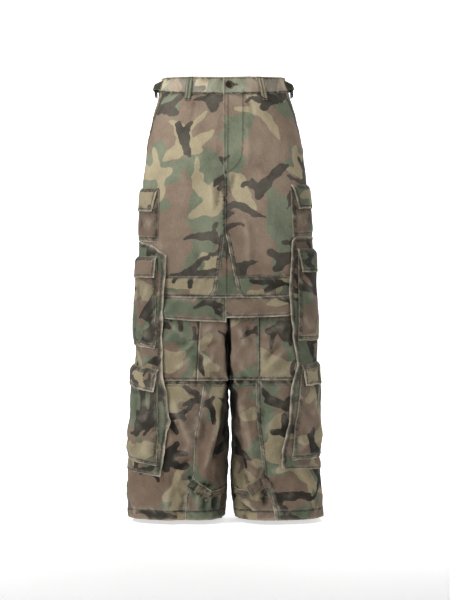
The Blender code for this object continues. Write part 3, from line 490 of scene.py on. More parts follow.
def onTop(layers=1):
    return layers * (cut["layGap"] + cut["wall"])


def nearLine(distance, full, ramp):
    return 1 - smooth((distance - full) / ramp)


# The print: strokes that taper and fork, drawn into one square of cloth that repeats. Each
# layer's field is the distance to its shapes, below zero inside them.
printSquare = {"size": 1.5, "count": 1000, "seed": 12, "scale": 0.86}
printLayers = {
    "green": {"cells": 9, "share": 1.0, "length": (0.14, 0.23), "radius": (0.02, 0.032), "wander": 0.45,
              "forks": (1, 4), "forkLength": (0.35, 0.65), "forkRadius": 0.62, "tip": 0.5, "merge": 0.0045},
    "tan": {"cells": 9, "share": 0.95, "length": (0.11, 0.19), "radius": (0.012, 0.022), "wander": 0.45,
            "forks": (1, 3), "forkLength": (0.35, 0.65), "forkRadius": 0.62, "tip": 0.75, "merge": 0.004},
    "ink": {"cells": 10, "share": 1.0, "length": (0.1, 0.18), "radius": (0.0066, 0.0116), "wander": 0.42,
            "forks": (1, 4), "forkLength": (0.25, 0.5), "forkRadius": 0.8, "tip": 0.8, "merge": 0.0022},
}
strokeSteps = 6


def strokeRuns(rng, start, heading, length, radius, wander, ends):
    # A bent, swelling stroke as short straight runs: two ends and a radius at each
    t = np.linspace(0, 1, strokeSteps + 1)
    swell = rng.uniform(0.7, 1.3, strokeSteps + 1)
    radii = radius * swell * np.interp(t, (0, 0.25, 0.6, 1), ends)
    headings = heading + np.cumsum(rng.normal(0, wander, strokeSteps))
    moves = np.stack([np.cos(headings), np.sin(headings)], axis=1) * length / strokeSteps
    points = start + np.concatenate([np.zeros((1, 2)), np.cumsum(moves, axis=0)])
    return points, radii, headings


def printMotif(rng, look, start):
    heading = rng.choice((0.45, -0.6, 2.3, 0.05)) + rng.normal(0, 0.35)
    length = rng.uniform(*look["length"])
    radius = rng.uniform(*look["radius"])
    path = strokeRuns(rng, start, heading, length, radius, look["wander"], (0.35, 1.0, 1.05, look["tip"]))
    paths = [path]
    for _ in range(rng.integers(*look["forks"]) + 1):
        k = int(rng.integers(1, 6))
        away = path[2][min(k, 5)] + rng.choice((-1, 1)) * rng.uniform(0.7, 1.4)
        reachOut = length * rng.uniform(*look["forkLength"])
        thick = min(path[1][k], radius) * look["forkRadius"] * rng.uniform(0.7, 1.25)
        paths.append(strokeRuns(rng, path[0][k], away, reachOut, thick, look["wander"] * 0.8,
                                (1.1, 1.0, 0.85, look["tip"])))
    return [(points[i], points[i + 1], radii[i], radii[i + 1])
            for points, radii, _ in paths for i in range(strokeSteps)]


def printTile(look, seed):
    rng = np.random.default_rng(seed)
    size, count, merge = printSquare["size"], printSquare["count"], look["merge"]
    step = size / count
    total = np.full((count, count), 1e-9)
    cell = size / look["cells"]
    for i in range(look["cells"]):
        for j in range(look["cells"]):
            if rng.random() > look["share"]:
                continue
            middle = (np.array((i, j)) + rng.uniform(0.1, 0.9, 2)) * cell
            for start, end, startRadius, endRadius in printMotif(rng, look, middle):
                margin = max(startRadius, endRadius) + 0.012
                low = np.floor((np.minimum(start, end) - margin) / step).astype(int)
                high = np.ceil((np.maximum(start, end) + margin) / step).astype(int)
                columns = np.arange(low[0], high[0] + 1)
                rows = np.arange(low[1], high[1] + 1)
                x, y = np.meshgrid(columns * step - start[0], rows * step - start[1])
                run = end - start
                t = np.clip((x * run[0] + y * run[1]) / (run @ run + 1e-12), 0, 1)
                radius = startRadius + (endRadius - startRadius) * t
                off = np.hypot(x - t * run[0], y - t * run[1]) - radius
                total[np.ix_(rows % count, columns % count)] += np.exp(-off / merge)
    return -merge * np.log(total)


def readTile(tile, place):
    # Field at places on the cloth, in metres, between the square's samples
    count = printSquare["count"]
    spot = place / printSquare["scale"] / printSquare["size"] * count
    low = np.floor(spot).astype(int)
    a, b = (spot - low).T
    x0, y0 = (low % count).T
    x1, y1 = ((low + 1) % count).T
    field = ((tile[y0, x0] * (1 - a) + tile[y0, x1] * a) * (1 - b)
             + (tile[y1, x0] * (1 - a) + tile[y1, x1] * a) * b)
    return field * printSquare["scale"]


printTiles = {label: printTile(look, printSquare["seed"] + k)
              for k, (label, look) in enumerate(printLayers.items())}
print("print drawn")


# how an edge of a piece is sewn, worn and shaded. Heights and distances in metres, worn and dark amounts 0 to
# 1; the dark band beside an edge is grime and painted shade.
plainEdge = {"groove": 0.0, "ridge": 0.0, "ridgeWidth": 0.01, "pucker": 0.0, "puckerAt": 0.004,
             "puckerSpread": 0.008, "wave": 0.0075, "worn": 0.0, "wornWidth": 0.0018, "dirt": 0.0,
             "dirtAt": 0.001, "dirtSpread": 0.0035, "rows": (), "rowWidth": 0.0011, "rowWorn": 0.28,
             "span": None, "curl": 0.0}


def edge(**changes):
    return {**plainEdge, **changes}


hidden = edge()
seam = edge(groove=0.0012, pucker=0.0005, worn=0.2, dirt=0.55)
sewnSeam = edge(groove=0.001, ridge=0.0006, pucker=0.0009, worn=0.55, dirt=0.85, dirtAt=0.0022,
                rows=(0.0026,))
felledSeam = edge(groove=0.0008, ridge=0.0007, ridgeWidth=0.0095, pucker=0.0009, worn=0.6,
                  dirt=0.7, dirtAt=0.0045, dirtSpread=0.005, rows=(0.0022, 0.0085))
foldedEdge = edge(pucker=0.0006, worn=0.8, dirt=0.4, dirtAt=0.004, rows=(0.0032,))
rawEdge = edge(pucker=0.0009, wave=0.011, worn=1.25, wornWidth=0.0024, dirt=0.95, dirtAt=0.007,
               dirtSpread=0.0045, rows=(0.0075,), rowWorn=0.0, curl=0.0012)
hemEdge = edge(ridge=0.0007, ridgeWidth=0.0215, pucker=0.0013, puckerAt=0.02, puckerSpread=0.01,
               wave=0.01, worn=0.75, wornWidth=0.003, dirt=0.75, dirtAt=0.0215,
               dirtSpread=0.0028, rows=(0.0215,), rowWidth=0.0016)

edgeOffsets = (0.0, 0.0005, 0.0013, 0.0026, 0.0043, 0.0063, 0.0088, 0.0115)


def spanShare(spec, run):
    # 1 over the stretch of an edge that is sewn, down to 0 at its ends
    if not spec["span"]:
        return 1.0
    low, high = spec["span"]
    return smooth((run - low) / 0.01) * smooth((high - run) / 0.01)


def ropedShare(spec, off, run, seed):
    # The slanting puckers that shrunk thread pulls into a seam, from -1 to 1
    amount = hump(off - spec["puckerAt"], spec["puckerSpread"])
    return amount * softNoise(run / spec["wave"] + off / 0.012, off / 0.035, seed)


def turnedDrop(off, width, drop):
    # A rounded edge falls away over its last millimetre
    turned = np.clip(1 - off / width, 0, 1)
    return drop * (1 - np.sqrt(1 - turned ** 2 * 0.98))


# How an edge's sewing shapes the cloth: half width of a groove, start and ramps of a ridge,
# depth and half width of a row's dent, reach of a curl and drop of the turned edge
sewing = {"groove": 0.0021, "ridgeStart": 0.0008, "ridgeRamp": 0.0014, "ridgeEnd": 0.0022,
          "dent": 0.0003, "dentWidth": 0.0011, "curl": 0.004, "drop": 0.0006}


def edgeHeight(spec, off, run, seed):
    # Height that an edge's sewing adds, at a distance in from it and a place along it
    height = -spec["groove"] * hump(off, sewing["groove"])
    started = smooth((off - sewing["ridgeStart"]) / sewing["ridgeRamp"])
    inner = started * (1 - smooth((off - spec["ridgeWidth"]) / sewing["ridgeEnd"]))
    height = height + spec["ridge"] * inner
    if spec["pucker"]:
        height = height + spec["pucker"] * ropedShare(spec, off, run, seed)
    for row in spec["rows"]:
        height = height - sewing["dent"] * hump(off - row, sewing["dentWidth"])
    height = height + spec["curl"] * hump(off, sewing["curl"])
    return height - turnedDrop(off, cut["edgeTurn"], sewing["drop"])


def gridLines(length, spacing, startRows=(), endRows=()):
    # Shares of a length from 0 to 1, close together beside both ends and at the sewn rows
    beside, least = 0.0012, 0.00035
    near = [d for d in edgeOffsets if d < length * 0.4]
    count = max(2, int(round((length - 2 * near[-1]) / spacing)) + 1)
    lines = list(near[:-1]) + list(np.linspace(near[-1], length - near[-1], count))
    lines += [length - d for d in near[:-1]]
    for row in (*startRows, *(length - row for row in endRows)):
        lines += [row - beside, row, row + beside]
    kept = [0.0]
    for d in sorted(d for d in lines if 0 <= d <= length):
        if d - kept[-1] > least:
            kept.append(d)
    kept[-1] = length
    return np.array(kept) / length


# Stitches and loose fibres are gathered here, and made as joined meshes at the end. Each entry
# is a row's points, the three axes of the copies there, and their size along those axes.
stitches = []
fibres = []
pieces = {}


def unit(vectors):
    return vectors / (np.linalg.norm(vectors, axis=1)[:, None] + 1e-12)


def sewRow(place, run, pitch=0.0036, size=(0.0028, 0.00085, 0.0007)):
    # place(t) gives points and normals for t from 0 to 1 along a row of the given length
    count = max(1, int(run / pitch))
    t = (np.arange(count) + 0.5) / count
    points, normals = place(t)
    ahead, _ = place(np.clip(t + 0.15 / count, 0, 1))
    behind, _ = place(np.clip(t - 0.15 / count, 0, 1))
    tangent = unit(ahead - behind)
    across = unit(np.cross(normals, tangent))
    stitches.append((points, (tangent, across, np.cross(tangent, across)), size))


# How much wear, grime and painted shade the sewing and the creases give, and how far they reach: seam
# grooves, pucker troughs and crease troughs get painted shade
wearAndShade = {"beside": 0.003, "besideSpread": 0.0015, "dash": 0.0036, "row": 1.2, "groove": 0.9,
        "grooveSpread": 0.0006, "ropePale": 300, "ropeDark": 420, "reliefPale": 0.3,
        "reliefDark": 0.75, "relief": 0.0026, "crumple": 0.32}


def edgeMasks(sewn, off, along, z, seed):
    # Pale wear along the sewn edges of a piece, and dark grime mixed with painted shade beside them, in their
    # grooves and in the troughs of their puckers
    worn, dirt = np.zeros(z.shape), np.zeros(z.shape)
    for k, (which, spec) in enumerate(sewn):
        run = z if which in ("front", "back") else along
        share, inward = spanShare(spec, run), off[which]
        worn += share * spec["worn"] * np.exp(-inward / spec["wornWidth"])
        dashes = 0.55 + 0.45 * softNoise(run / wearAndShade["dash"], 0.3, seed + 7)
        for row in spec["rows"]:
            beside = hump(inward - row - wearAndShade["beside"], wearAndShade["besideSpread"])
            worn += share * spec["rowWorn"] * spec["worn"] * beside
            dirt += share * wearAndShade["row"] * dashes * hump(inward - row, spec["rowWidth"])
        if spec["groove"]:
            # painted shade in the seam's groove
            dirt += share * wearAndShade["groove"] * np.exp(-inward / wearAndShade["grooveSpread"])
        roped = ropedShare(spec, inward, run, seed * 4 + k)
        # pale wear on the pucker crests, painted shade in their troughs
        worn += share * wearAndShade["ropePale"] * spec["pucker"] * np.maximum(roped, 0)
        dirt += share * wearAndShade["ropeDark"] * spec["pucker"] * np.maximum(-roped, 0)
        # a dark band beside the edge: grime and painted shade
        dirt += share * spec["dirt"] * hump(inward - spec["dirtAt"], spec["dirtSpread"])
    return worn, dirt


def clothPiece(name, side, front, back, top, bottom, edges=None, lift=None, rise=0.0, ramp=0.018,
               wall=cut["wall"], tube=None, spacing=0.0034, fade=0.5, grime=None, shadow=None,
               local=(), turn=0.0):
    # A wall of cloth on the form, between four edges, with its sewing, puckers and creases.
    # An edge may be sewn in two ways, each over its own stretch.
    edges = {**{which: hidden for which in ("front", "back", "top", "bottom")}, **(edges or {})}
    sewn = [(which, spec) for which, specs in edges.items()
            for spec in (specs if isinstance(specs, tuple) else (specs,))]
    rowsAt = {which: [row for at, spec in sewn if at == which for row in spec["rows"]] for which in edges}
    seed = len(pieces) + 1
    lap = cut["seamLap"] / 2
    heights = np.linspace(float(top(0.1)), float(bottom(0.1)), 40)
    fronts, backs = front(side, heights, tube), back(side, heights, tube)
    spans = np.linspace(backs.min(), fronts.max(), 80)
    width = float((fronts - backs).max())
    length = float((top(spans) - bottom(spans)).max())
    uu, vv = np.meshgrid(gridLines(width, spacing, rowsAt["front"], rowsAt["back"]),
                         gridLines(length, spacing, rowsAt["top"], rowsAt["bottom"]))
    z = top(spans.mean()) + (bottom(spans.mean()) - top(spans.mean())) * vv
    for _ in range(6):
        start, end = front(side, z, tube) + lap, back(side, z, tube) - lap
        along = start + (end - start) * uu
        topZ, bottomZ = top(along) + lap, bottom(along) - lap
        z = topZ + (bottomZ - topZ) * vv

    def heightAt(along, z):
        # Outer face over the form, anywhere on the piece
        off = {"front": front(side, z, tube) - along, "back": along - back(side, z, tube),
               "top": top(along) - z, "bottom": z - bottom(along)}
        off = {which: np.maximum(inward, 0.0) for which, inward in off.items()}
        inner = rise
        for inward in off.values():
            inner = inner * smooth(inward / ramp)
        height = inner + (lift(side, along, z) if lift else 0.0)
        for k, (which, spec) in enumerate(sewn):
            run = z if which in ("front", "back") else along
            height = height + edgeHeight(spec, off[which], run, seed * 4 + k) * spanShare(spec, run)
        return height + creaseHeight(local, along, z), off

    height, off = heightAt(along, z)
    points, normals = onForm(side, along, z, height, tube)
    worn, dirt = edgeMasks(sewn, off, along, z, seed)
    # the piece's own mask adds grime and painted shade: shadows under bands, flaps, pleats and tucks, and
    # shade in hollows
    if grime:
        dirt += grime(side, along, z)
    # pale wear on the crease ridges, painted shade in the crease troughs
    relief = creaseHeight(creases[side], along, z) + creaseHeight(local, along, z)
    relief = relief + wearAndShade["crumple"] * crumpleHeight(side, along, z)
    worn += wearAndShade["reliefPale"] * smooth(relief / wearAndShade["relief"])
    dirt += wearAndShade["reliefDark"] * smooth(-relief / wearAndShade["relief"])
    # the tone value, with the shadow mask taken off it as painted shade
    shade = (fade(z) if callable(fade) else fade) - (shadow(side, along, z) if shadow else 0)
    area = float(np.sum((start - end)[:-1].mean(axis=1) * -np.diff(z.mean(axis=1))))
    finishGrid(name, points, normals, (along, z), (worn, dirt, shade), wall, turn, seed)
    declareCloth(name, (float(np.ptp(along)), float(np.ptp(z))), area)

    def rowPlace(which, spec, inset):
        # Places along one row of stitches, kept inside the piece's other edges
        margin = 0.0015
        line = {"front": front, "back": back, "top": top, "bottom": bottom}[which]
        upright = which in ("front", "back")
        inward = -inset if which in ("front", "top") else inset
        if upright:
            low, high = spec["span"] or (-9.0, 9.0)
            kept = np.linspace(z.max(), z.min(), 200)
            across = line(side, kept, tube) + inward
            inside = (kept < top(across) - margin) & (kept > bottom(across) + margin)
            kept = kept[inside & (kept > low) & (kept < high)]
        else:
            kept = np.linspace(along.max(), along.min(), 200)
            across = line(kept) + inward
            kept = kept[(kept < front(side, across, tube) - margin)
                        & (kept > back(side, across, tube) + margin)]

        def place(t):
            run = np.interp(t, np.linspace(0, 1, len(kept)), kept)
            rowAlong = line(side, run, tube) + inward if upright else run
            rowZ = run if upright else line(run) + inward
            lifted, _ = heightAt(rowAlong, rowZ)
            return onForm(side, rowAlong, rowZ, lifted + cut["threadLift"], tube)
        return place if len(kept) > 1 else None

    for which, spec in sewn:
        for inset in spec["rows"]:
            place = rowPlace(which, spec, inset)
            if place:
                probe, _ = place(np.linspace(0, 1, 60))
                sewRow(place, float(np.linalg.norm(np.diff(probe, axis=0), axis=1).sum()))
    return heightAt


def setMode(mode):
    bpy.ops.object.mode_set(mode=mode)


def startFrom(addPrimitive, **settings):
    bpy.ops.object.select_all(action="DESELECT")
    addPrimitive(**settings)
    return bpy.context.object


def finishGrid(name, points, normals, flat, masks, wall, turn, seed, material="camoCotton"):
    # A grid primitive shaped to the points, with its cloth coordinates, masks and thickness
    lines, columns = points.shape[:2]
    piece = startFrom(bpy.ops.mesh.primitive_grid_add, x_subdivisions=columns - 1,
                      y_subdivisions=lines - 1, size=1)
    piece.name = "cloth_" + name
    mesh = piece.data
    mesh.name = piece.name
    mesh.vertices.foreach_set("co", points.reshape(-1, 3).ravel())
    mesh.update()
    middle = mesh.polygons[len(mesh.polygons) // 2]
    outward = normals.reshape(-1, 3)[middle.vertices[0]]
    if np.dot(outward, middle.normal) < 0:
        mesh.flip_normals()
    along, z = (part.ravel() for part in flat)
    # each piece is cut from its own place on the printed cloth
    place = np.stack([along * math.cos(turn) - z * math.sin(turn) + 0.37 * seed,
                      along * math.sin(turn) + z * math.cos(turn) + 0.53 * seed], axis=1)
    corners = np.zeros(len(mesh.loops), dtype=int)
    mesh.loops.foreach_get("vertex_index", corners)
    uvMap = mesh.uv_layers[0] if mesh.uv_layers else mesh.uv_layers.new(name="UVMap")
    uvMap.name = "UVMap"
    uvMap.data.foreach_set("uv", place[corners].ravel())
    worn, dirt, fade = masks
    shade = np.ravel(fade + 0 * points[..., 0])
    layers = {"worn": worn.ravel(), "dirt": dirt.ravel(), "fade": shade}
    if material == "camoCotton":
        layers.update({label: readTile(tile, place) for label, tile in printTiles.items()})
    for label, values in layers.items():
        layer = mesh.attributes.new(label, "FLOAT", "POINT")
        layer.data.foreach_set("value", np.ascontiguousarray(values, dtype=np.float32))
    outerCount = len(mesh.vertices)
    thick = piece.modifiers.new("thickness", "SOLIDIFY")
    thick.thickness = wall
    thick.offset = -1.0
    bpy.ops.object.modifier_apply(modifier="thickness")
    reverse = mesh.attributes.new("reverse", "FLOAT", "POINT")
    flags = np.zeros(len(mesh.vertices), dtype=np.float32)
    flags[outerCount:] = 1.0
    reverse.data.foreach_set("value", flags)
    bpy.ops.object.shade_smooth_by_angle(angle=math.radians(50))
    mesh.materials.clear()
    mesh.materials.append(materials[material])
    pieces[name] = piece
    return piece


def declareCloth(name, flat, area):
    piece = pieces[name]
    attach(piece, "root")
    if name in frame["nodes"]:
        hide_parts(name)
    width, length = max(flat[0], 0.01), max(flat[1], 0.01)
    area = min(max(area, 0.31 * width * length), width * length)


# materials
def addNode(tree, kind, settings=None, inputs=None):
    node = tree.nodes.new(kind)
    for key, value in (settings or {}).items():
        setattr(node, key, value)
    for key, value in (inputs or {}).items():
        socket = node.inputs[key]
        if isinstance(value, bpy.types.NodeSocket):
            tree.links.new(value, socket)
        else:
            socket.default_value = value
    return node


def maths(tree, operation, a, b=0.0, clamp=False):
    settings = {"operation": operation, "use_clamp": clamp}
    return addNode(tree, "ShaderNodeMath", settings, {0: a, 1: b}).outputs[0]


def blend(tree, amount, a, b, mode="MIX"):
    settings = {"data_type": "RGBA", "blend_type": mode, "clamp_factor": True}
    return addNode(tree, "ShaderNodeMix", settings, {0: amount, 6: a, 7: b}).outputs[2]


def between(tree, value, low, high, toLow=0.0, toHigh=1.0):
    settings = {"interpolation_type": "SMOOTHSTEP", "clamp": True}
    inputs = {"Value": value, "From Min": low, "From Max": high, "To Min": toLow, "To Max": toHigh}
    return addNode(tree, "ShaderNodeMapRange", settings, inputs).outputs[0]


def times(tree, a, b, clamp=False):
    return maths(tree, "MULTIPLY", a, b, clamp)


def noise(tree, vector, scale, detail=2.0, roughness=0.5, output="Fac"):
    inputs = {"Vector": vector, "Scale": scale, "Detail": detail, "Roughness": roughness}
    return addNode(tree, "ShaderNodeTexNoise", None, inputs).outputs[output]


def warped(tree, vector, scale, amount):
    # The vector, pushed about by noise
    place = noise(tree, vector, scale, 1.0, 0.5, "Color")
    for operation, inputs in (("SUBTRACT", {1: (0.5, 0.5, 0.5)}), ("SCALE", {"Scale": amount}),
                              ("ADD", {1: vector})):
        settings = {"operation": operation}
        place = addNode(tree, "ShaderNodeVectorMath", settings, {0: place, **inputs}).outputs[0]
    return place


# A group's input is a vector where it is given None, or else takes the kind of its first value
socketKinds = {type(None): "NodeSocketVector", float: "NodeSocketFloat", tuple: "NodeSocketColor"}


def newGroup(name, inputs, outputs):
    group = bpy.data.node_groups.new(name, "ShaderNodeTree")
    for label, value in inputs.items():
        kind = socketKinds[type(value)]
        socket = group.interface.new_socket(label, in_out="INPUT", socket_type=kind)
        if value is not None:
            socket.default_value = value
    for label, kind in outputs.items():
        group.interface.new_socket(label, in_out="OUTPUT", socket_type=kind)
    return group, group.nodes.new("NodeGroupInput").outputs, group.nodes.new("NodeGroupOutput").inputs


def buildCamoPrint():
    # Four-colour woodland print: brown ground under green, tan and black shapes. Each field
    # is the distance to its layer's shapes, and noise roughens their edges.
    group, given, result = newGroup(
        "camoPrint",
        {"Vector": None, "Green Field": 0.01, "Tan Field": 0.01, "Ink Field": 0.01,
         "Brown": (0.26, 0.19, 0.14, 1), "Green": (0.19, 0.22, 0.15, 1), "Tan": (0.38, 0.32, 0.2, 1),
         "Black": (0.08, 0.075, 0.065, 1)},
        {"Color": "NodeSocketColor"})
    rough, fine = (between(group, noise(group, given["Vector"], scale, detail), 0.2, 0.8, -reachOut, reachOut)
                   for scale, detail, reachOut in ((60.0, 2.0, 0.0016), (420.0, 1.0, 0.0004)))
    wobble = maths(group, "ADD", rough, fine)
    shade = given["Brown"]
    for label, colour in (("Green Field", "Green"), ("Tan Field", "Tan"), ("Ink Field", "Black")):
        field = maths(group, "ADD", given[label], wobble)
        shade = blend(group, between(group, field, 0.0006, -0.0006), shade, given[colour])
    group.links.new(shade, result["Color"])
    return group


def buildWashedAndShadedCloth():
    # Haze and tone set by the tone value, which is paler toward the waist and carries painted shade where the
    # shadow masks lower it; pale worn edges; grime and painted shade beside the stitching and in crease
    # troughs; all broken up by noise
    group, given, result = newGroup(
        "washedCloth",
        {"Color": (0.3, 0.3, 0.3, 1), "Vector": None, "Worn": 0.0, "Dirt": 0.0, "Fade": 0.5,
         "Reverse": 0.0, "Haze": (0.4, 0.36, 0.29, 1), "Pale": (0.55, 0.5, 0.4, 1),
         "Grime": (0.03, 0.028, 0.022, 1)},
        {"Color": "NodeSocketColor", "Roughness": "NodeSocketFloat"})
    vector, fade = given["Vector"], given["Fade"]
    blotch = noise(group, vector, 11.0, 4.0, 0.6)
    fine = noise(group, vector, 330.0, 2.0, 0.6)
    lengthwise = addNode(group, "ShaderNodeMapping", None, {"Vector": vector, "Scale": (1.0, 0.16, 1.0)})
    streak = noise(group, lengthwise.outputs[0], 420.0, 2.0, 0.6)
    haze = maths(group, "ADD", maths(group, "MINIMUM", fade, 0.85), between(group, fade, 1.3, 1.9, 0.0, 0.9))
    haze = times(group, haze, between(group, blotch, 0.25, 0.75, 0.55, 1.3))
    shade = blend(group, times(group, haze, 0.2), given["Color"], given["Haze"])
    tone = between(group, blotch, 0.3, 0.62, 0.8, 1.06)
    for grain, amount in ((fine, 0.1), (streak, 0.07)):
        tone = maths(group, "ADD", tone, between(group, grain, 0.2, 0.8, -amount, amount))
    # the tone value brightens the cloth toward the waist; below 0.15 it darkens it as painted shade
    for limits in ((0.15, 1.9, 0.76, 1.46), (-1.2, 0.15, 0.1, 1.0)):
        tone = times(group, tone, between(group, fade, *limits))
    toneColor = addNode(group, "ShaderNodeCombineColor", None, {0: tone, 1: tone, 2: tone}).outputs[0]
    shade = blend(group, 1.0, shade, toneColor, "MULTIPLY")
    # grime and painted shade darken the cloth toward the dark colour, broken up by spots
    spots = between(group, noise(group, vector, 150.0, 3.0, 0.65), 0.28, 0.62, 0.35, 1.15)
    dirt = times(group, given["Dirt"], spots)
    shade = blend(group, times(group, dirt, 0.85, True), shade, given["Grime"])
    threads = between(group, noise(group, vector, 520.0, 3.0, 0.7), 0.3, 0.62, 0.45, 1.25)
    patches = between(group, noise(group, vector, 38.0, 2.0), 0.36, 0.62, 0.35, 1.05)
    worn = times(group, times(group, given["Worn"], threads), patches)
    shade = blend(group, times(group, worn, 0.8, True), shade, given["Pale"])
    inside = blend(group, 0.55, shade, given["Haze"])
    group.links.new(blend(group, given["Reverse"], shade, inside), result["Color"])
    group.links.new(between(group, blotch, 0.2, 0.8, 0.82, 0.95), result["Roughness"])
    return group


def buildTwill():
    # Height of a twill weave in metres of cloth, with slubs and fine crumple
    group, given, result = newGroup("twillWeave", {"Vector": None, "Rib": 0.0001, "Crumple": 0.0012},
                                    {"Height": "NodeSocketFloat"})
    vector = given["Vector"]
    ribs = addNode(group, "ShaderNodeTexWave", {"bands_direction": "DIAGONAL"},
                   {"Vector": vector, "Scale": 210.0, "Distortion": 0.7, "Detail": 1.0,
                    "Detail Scale": 2.0}).outputs["Fac"]
    slub = noise(group, vector, 900.0, 2.0, 0.6)
    weave = times(group, maths(group, "ADD", ribs, slub), given["Rib"])
    soft = noise(group, warped(group, vector, 30.0, 0.012), 52.0, 3.0, 0.55)
    fine = times(group, noise(group, vector, 150.0, 2.0, 0.5), 0.16)
    soft = times(group, maths(group, "ADD", soft, fine), given["Crumple"])
    group.links.new(maths(group, "ADD", weave, soft), result["Height"])
    return group


def startMaterial(name, **constants):
    material = bpy.data.materials.new(name)
    material.use_nodes = True
    tree = material.node_tree
    shader = tree.nodes["Principled BSDF"]
    for label, value in constants.items():
        shader.inputs[label.replace("_", " ")].default_value = value
    return material, tree, shader


def placeGroup(tree, group, inputs):
    return addNode(tree, "ShaderNodeGroup", {"node_tree": group}, inputs)


def bumped(tree, shader, height, strength=1.0):
    bump = addNode(tree, "ShaderNodeBump", None, {"Height": height, "Strength": strength, "Distance": 1.0})
    tree.links.new(bump.outputs[0], shader.inputs["Normal"])


camoPrint, washedCloth, twillWeave = buildCamoPrint(), buildWashedAndShadedCloth(), buildTwill()
materials = {}


def clothMaterial(name, colours, pale, rib=0.0001, crumple=0.0026):
    # colours is the print's four colours, or one plain colour
    material, tree, shader = startMaterial(name, Sheen_Weight=0.05, Sheen_Roughness=0.45,
                                           Specular_IOR_Level=0.16)
    uv = addNode(tree, "ShaderNodeUVMap", {"uv_map": "UVMap"}).outputs[0]

    def attribute(label):
        return addNode(tree, "ShaderNodeAttribute", {"attribute_name": label}).outputs["Fac"]

    base = colours[0]
    if len(colours) == 4:
        inputs = {"Vector": uv, **dict(zip(("Brown", "Green", "Tan", "Black"), colours))}
        inputs.update({label.title() + " Field": attribute(label) for label in printLayers})
        base = placeGroup(tree, camoPrint, inputs).outputs["Color"]
    inputs = {label.title(): attribute(label) for label in ("worn", "dirt", "fade", "reverse")}
    inputs.update({"Color": base, "Vector": uv, "Pale": pale})
    clothLook = placeGroup(tree, washedCloth, inputs).outputs
    tree.links.new(clothLook["Color"], shader.inputs["Base Color"])
    tree.links.new(clothLook["Roughness"], shader.inputs["Roughness"])
    twill = placeGroup(tree, twillWeave, {"Vector": uv, "Rib": rib, "Crumple": crumple})
    bumped(tree, shader, twill.outputs["Height"])
    return material


def threadMaterial(name, dark, light):
    material, tree, shader = startMaterial(name, Sheen_Weight=0.2, Sheen_Roughness=0.4, Roughness=0.75)
    place = addNode(tree, "ShaderNodeTexCoord").outputs["Object"]
    shade = blend(tree, between(tree, noise(tree, place, 160.0, 2.0), 0.3, 0.7), dark, light)
    tree.links.new(shade, shader.inputs["Base Color"])
    twist = addNode(tree, "ShaderNodeTexWave", {"bands_direction": "DIAGONAL"},
                    {"Vector": place, "Scale": 900.0, "Distortion": 0.4}).outputs["Fac"]
    bumped(tree, shader, times(tree, twist, 0.00008))
    return material


def hardMaterial(name, dark, light, roughness, metal, scale=120.0, dent=0.00012):
    material, tree, shader = startMaterial(name, Metallic=metal)
    place = addNode(tree, "ShaderNodeTexCoord").outputs["Object"]
    marks = noise(tree, place, scale, 4.0, 0.65)
    shade = blend(tree, between(tree, marks, 0.42, 0.68), dark, light)
    tree.links.new(shade, shader.inputs["Base Color"])
    tree.links.new(between(tree, marks, 0.3, 0.7, roughness[0], roughness[1]), shader.inputs["Roughness"])
    bumped(tree, shader, times(tree, noise(tree, place, scale * 6, 3.0), dent))
    return material


camoColours = ((0.204, 0.142, 0.1, 1), (0.128, 0.158, 0.1, 1), (0.34, 0.284, 0.174, 1),
               (0.02, 0.016, 0.013, 1))
materials["camoCotton"] = clothMaterial("camoCotton", camoColours, (0.52, 0.46, 0.36, 1))
materials["oliveCotton"] = clothMaterial("oliveCotton", ((0.06, 0.062, 0.04, 1),),
                                         (0.3, 0.28, 0.2, 1), rib=0.00016, crumple=0.0006)
materials["darkThread"] = threadMaterial("darkThread", (0.02, 0.018, 0.013, 1), (0.06, 0.055, 0.038, 1))
materials["paleThread"] = threadMaterial("paleThread", (0.3, 0.26, 0.18, 1), (0.52, 0.47, 0.36, 1))
materials["agedMetal"] = hardMaterial("agedMetal", (0.05, 0.038, 0.026, 1), (0.15, 0.11, 0.07, 1),
                                      (0.32, 0.55), 0.9)
materials["blackBuckle"] = hardMaterial("blackBuckle", (0.01, 0.01, 0.01, 1), (0.03, 0.029, 0.027, 1),
                                        (0.35, 0.55), 0.0)
print("materials built")
# heightAt of the pieces that others are sewn to
surfaces = {}


# lines that the pieces share
waistTop = level((0.2, -0.0136), (0.11, -0.0118), (0.03, -0.0067), (0.0, -0.004),
                 (-0.1, 0.001), (-0.21, 0.003))
waistSeam = level((0.21, -0.0555), (0.128, -0.0534), (0.08, -0.0495), (0.032, -0.0425),
                  (0.0, -0.0385), (-0.1, -0.037), (-0.22, -0.037))
kneeBandTop = level(-0.4866)
kneeBandEnd = {right: level((0.27, -0.535), (0.23, -0.535), (0.0, -0.529)),
               left: level((0.27, -0.535), (0.23, -0.535), (0.0, -0.524))}
bandHang = (0.12, 0.012)
crotch = level(cut["crotch"])
lowerBandEnd = {right: level((0.28, -0.594), (0.128, -0.585), (0.12, -0.574), (0.0, -0.574)),
                left: level((0.28, -0.5835), (0.128, -0.579), (0.12, -0.574), (0.0, -0.574))}
tuckZ = {right: -0.732, left: -0.7305}
hem = level(cut["hem"])
gussetSeam = {right: ((-0.377, -0.0012), (-0.5174, -0.02), (-0.536, -0.033)),
              left: ((-0.377, -0.0012), (-0.4093, 0.0059), (-0.5174, 0.0271), (-0.536, 0.038))}
frontEdge = {right: ((0.0, 0.006), (cut["flyEnd"], 0.006), (cut["flyEnd"] - 0.008, 0.0012),
                     (-0.369, 0.0012)),
             left: ((0.0, cut["flyX"]), (cut["flyEnd"], cut["flyX"]), (cut["flyEnd"] - 0.008, -0.0012))}
pleatRows = {right: ((cut["crotch"], -0.059), (-0.74, -0.0675)),
             left: ((cut["crotch"], 0.0778), (-0.74, 0.0779))}
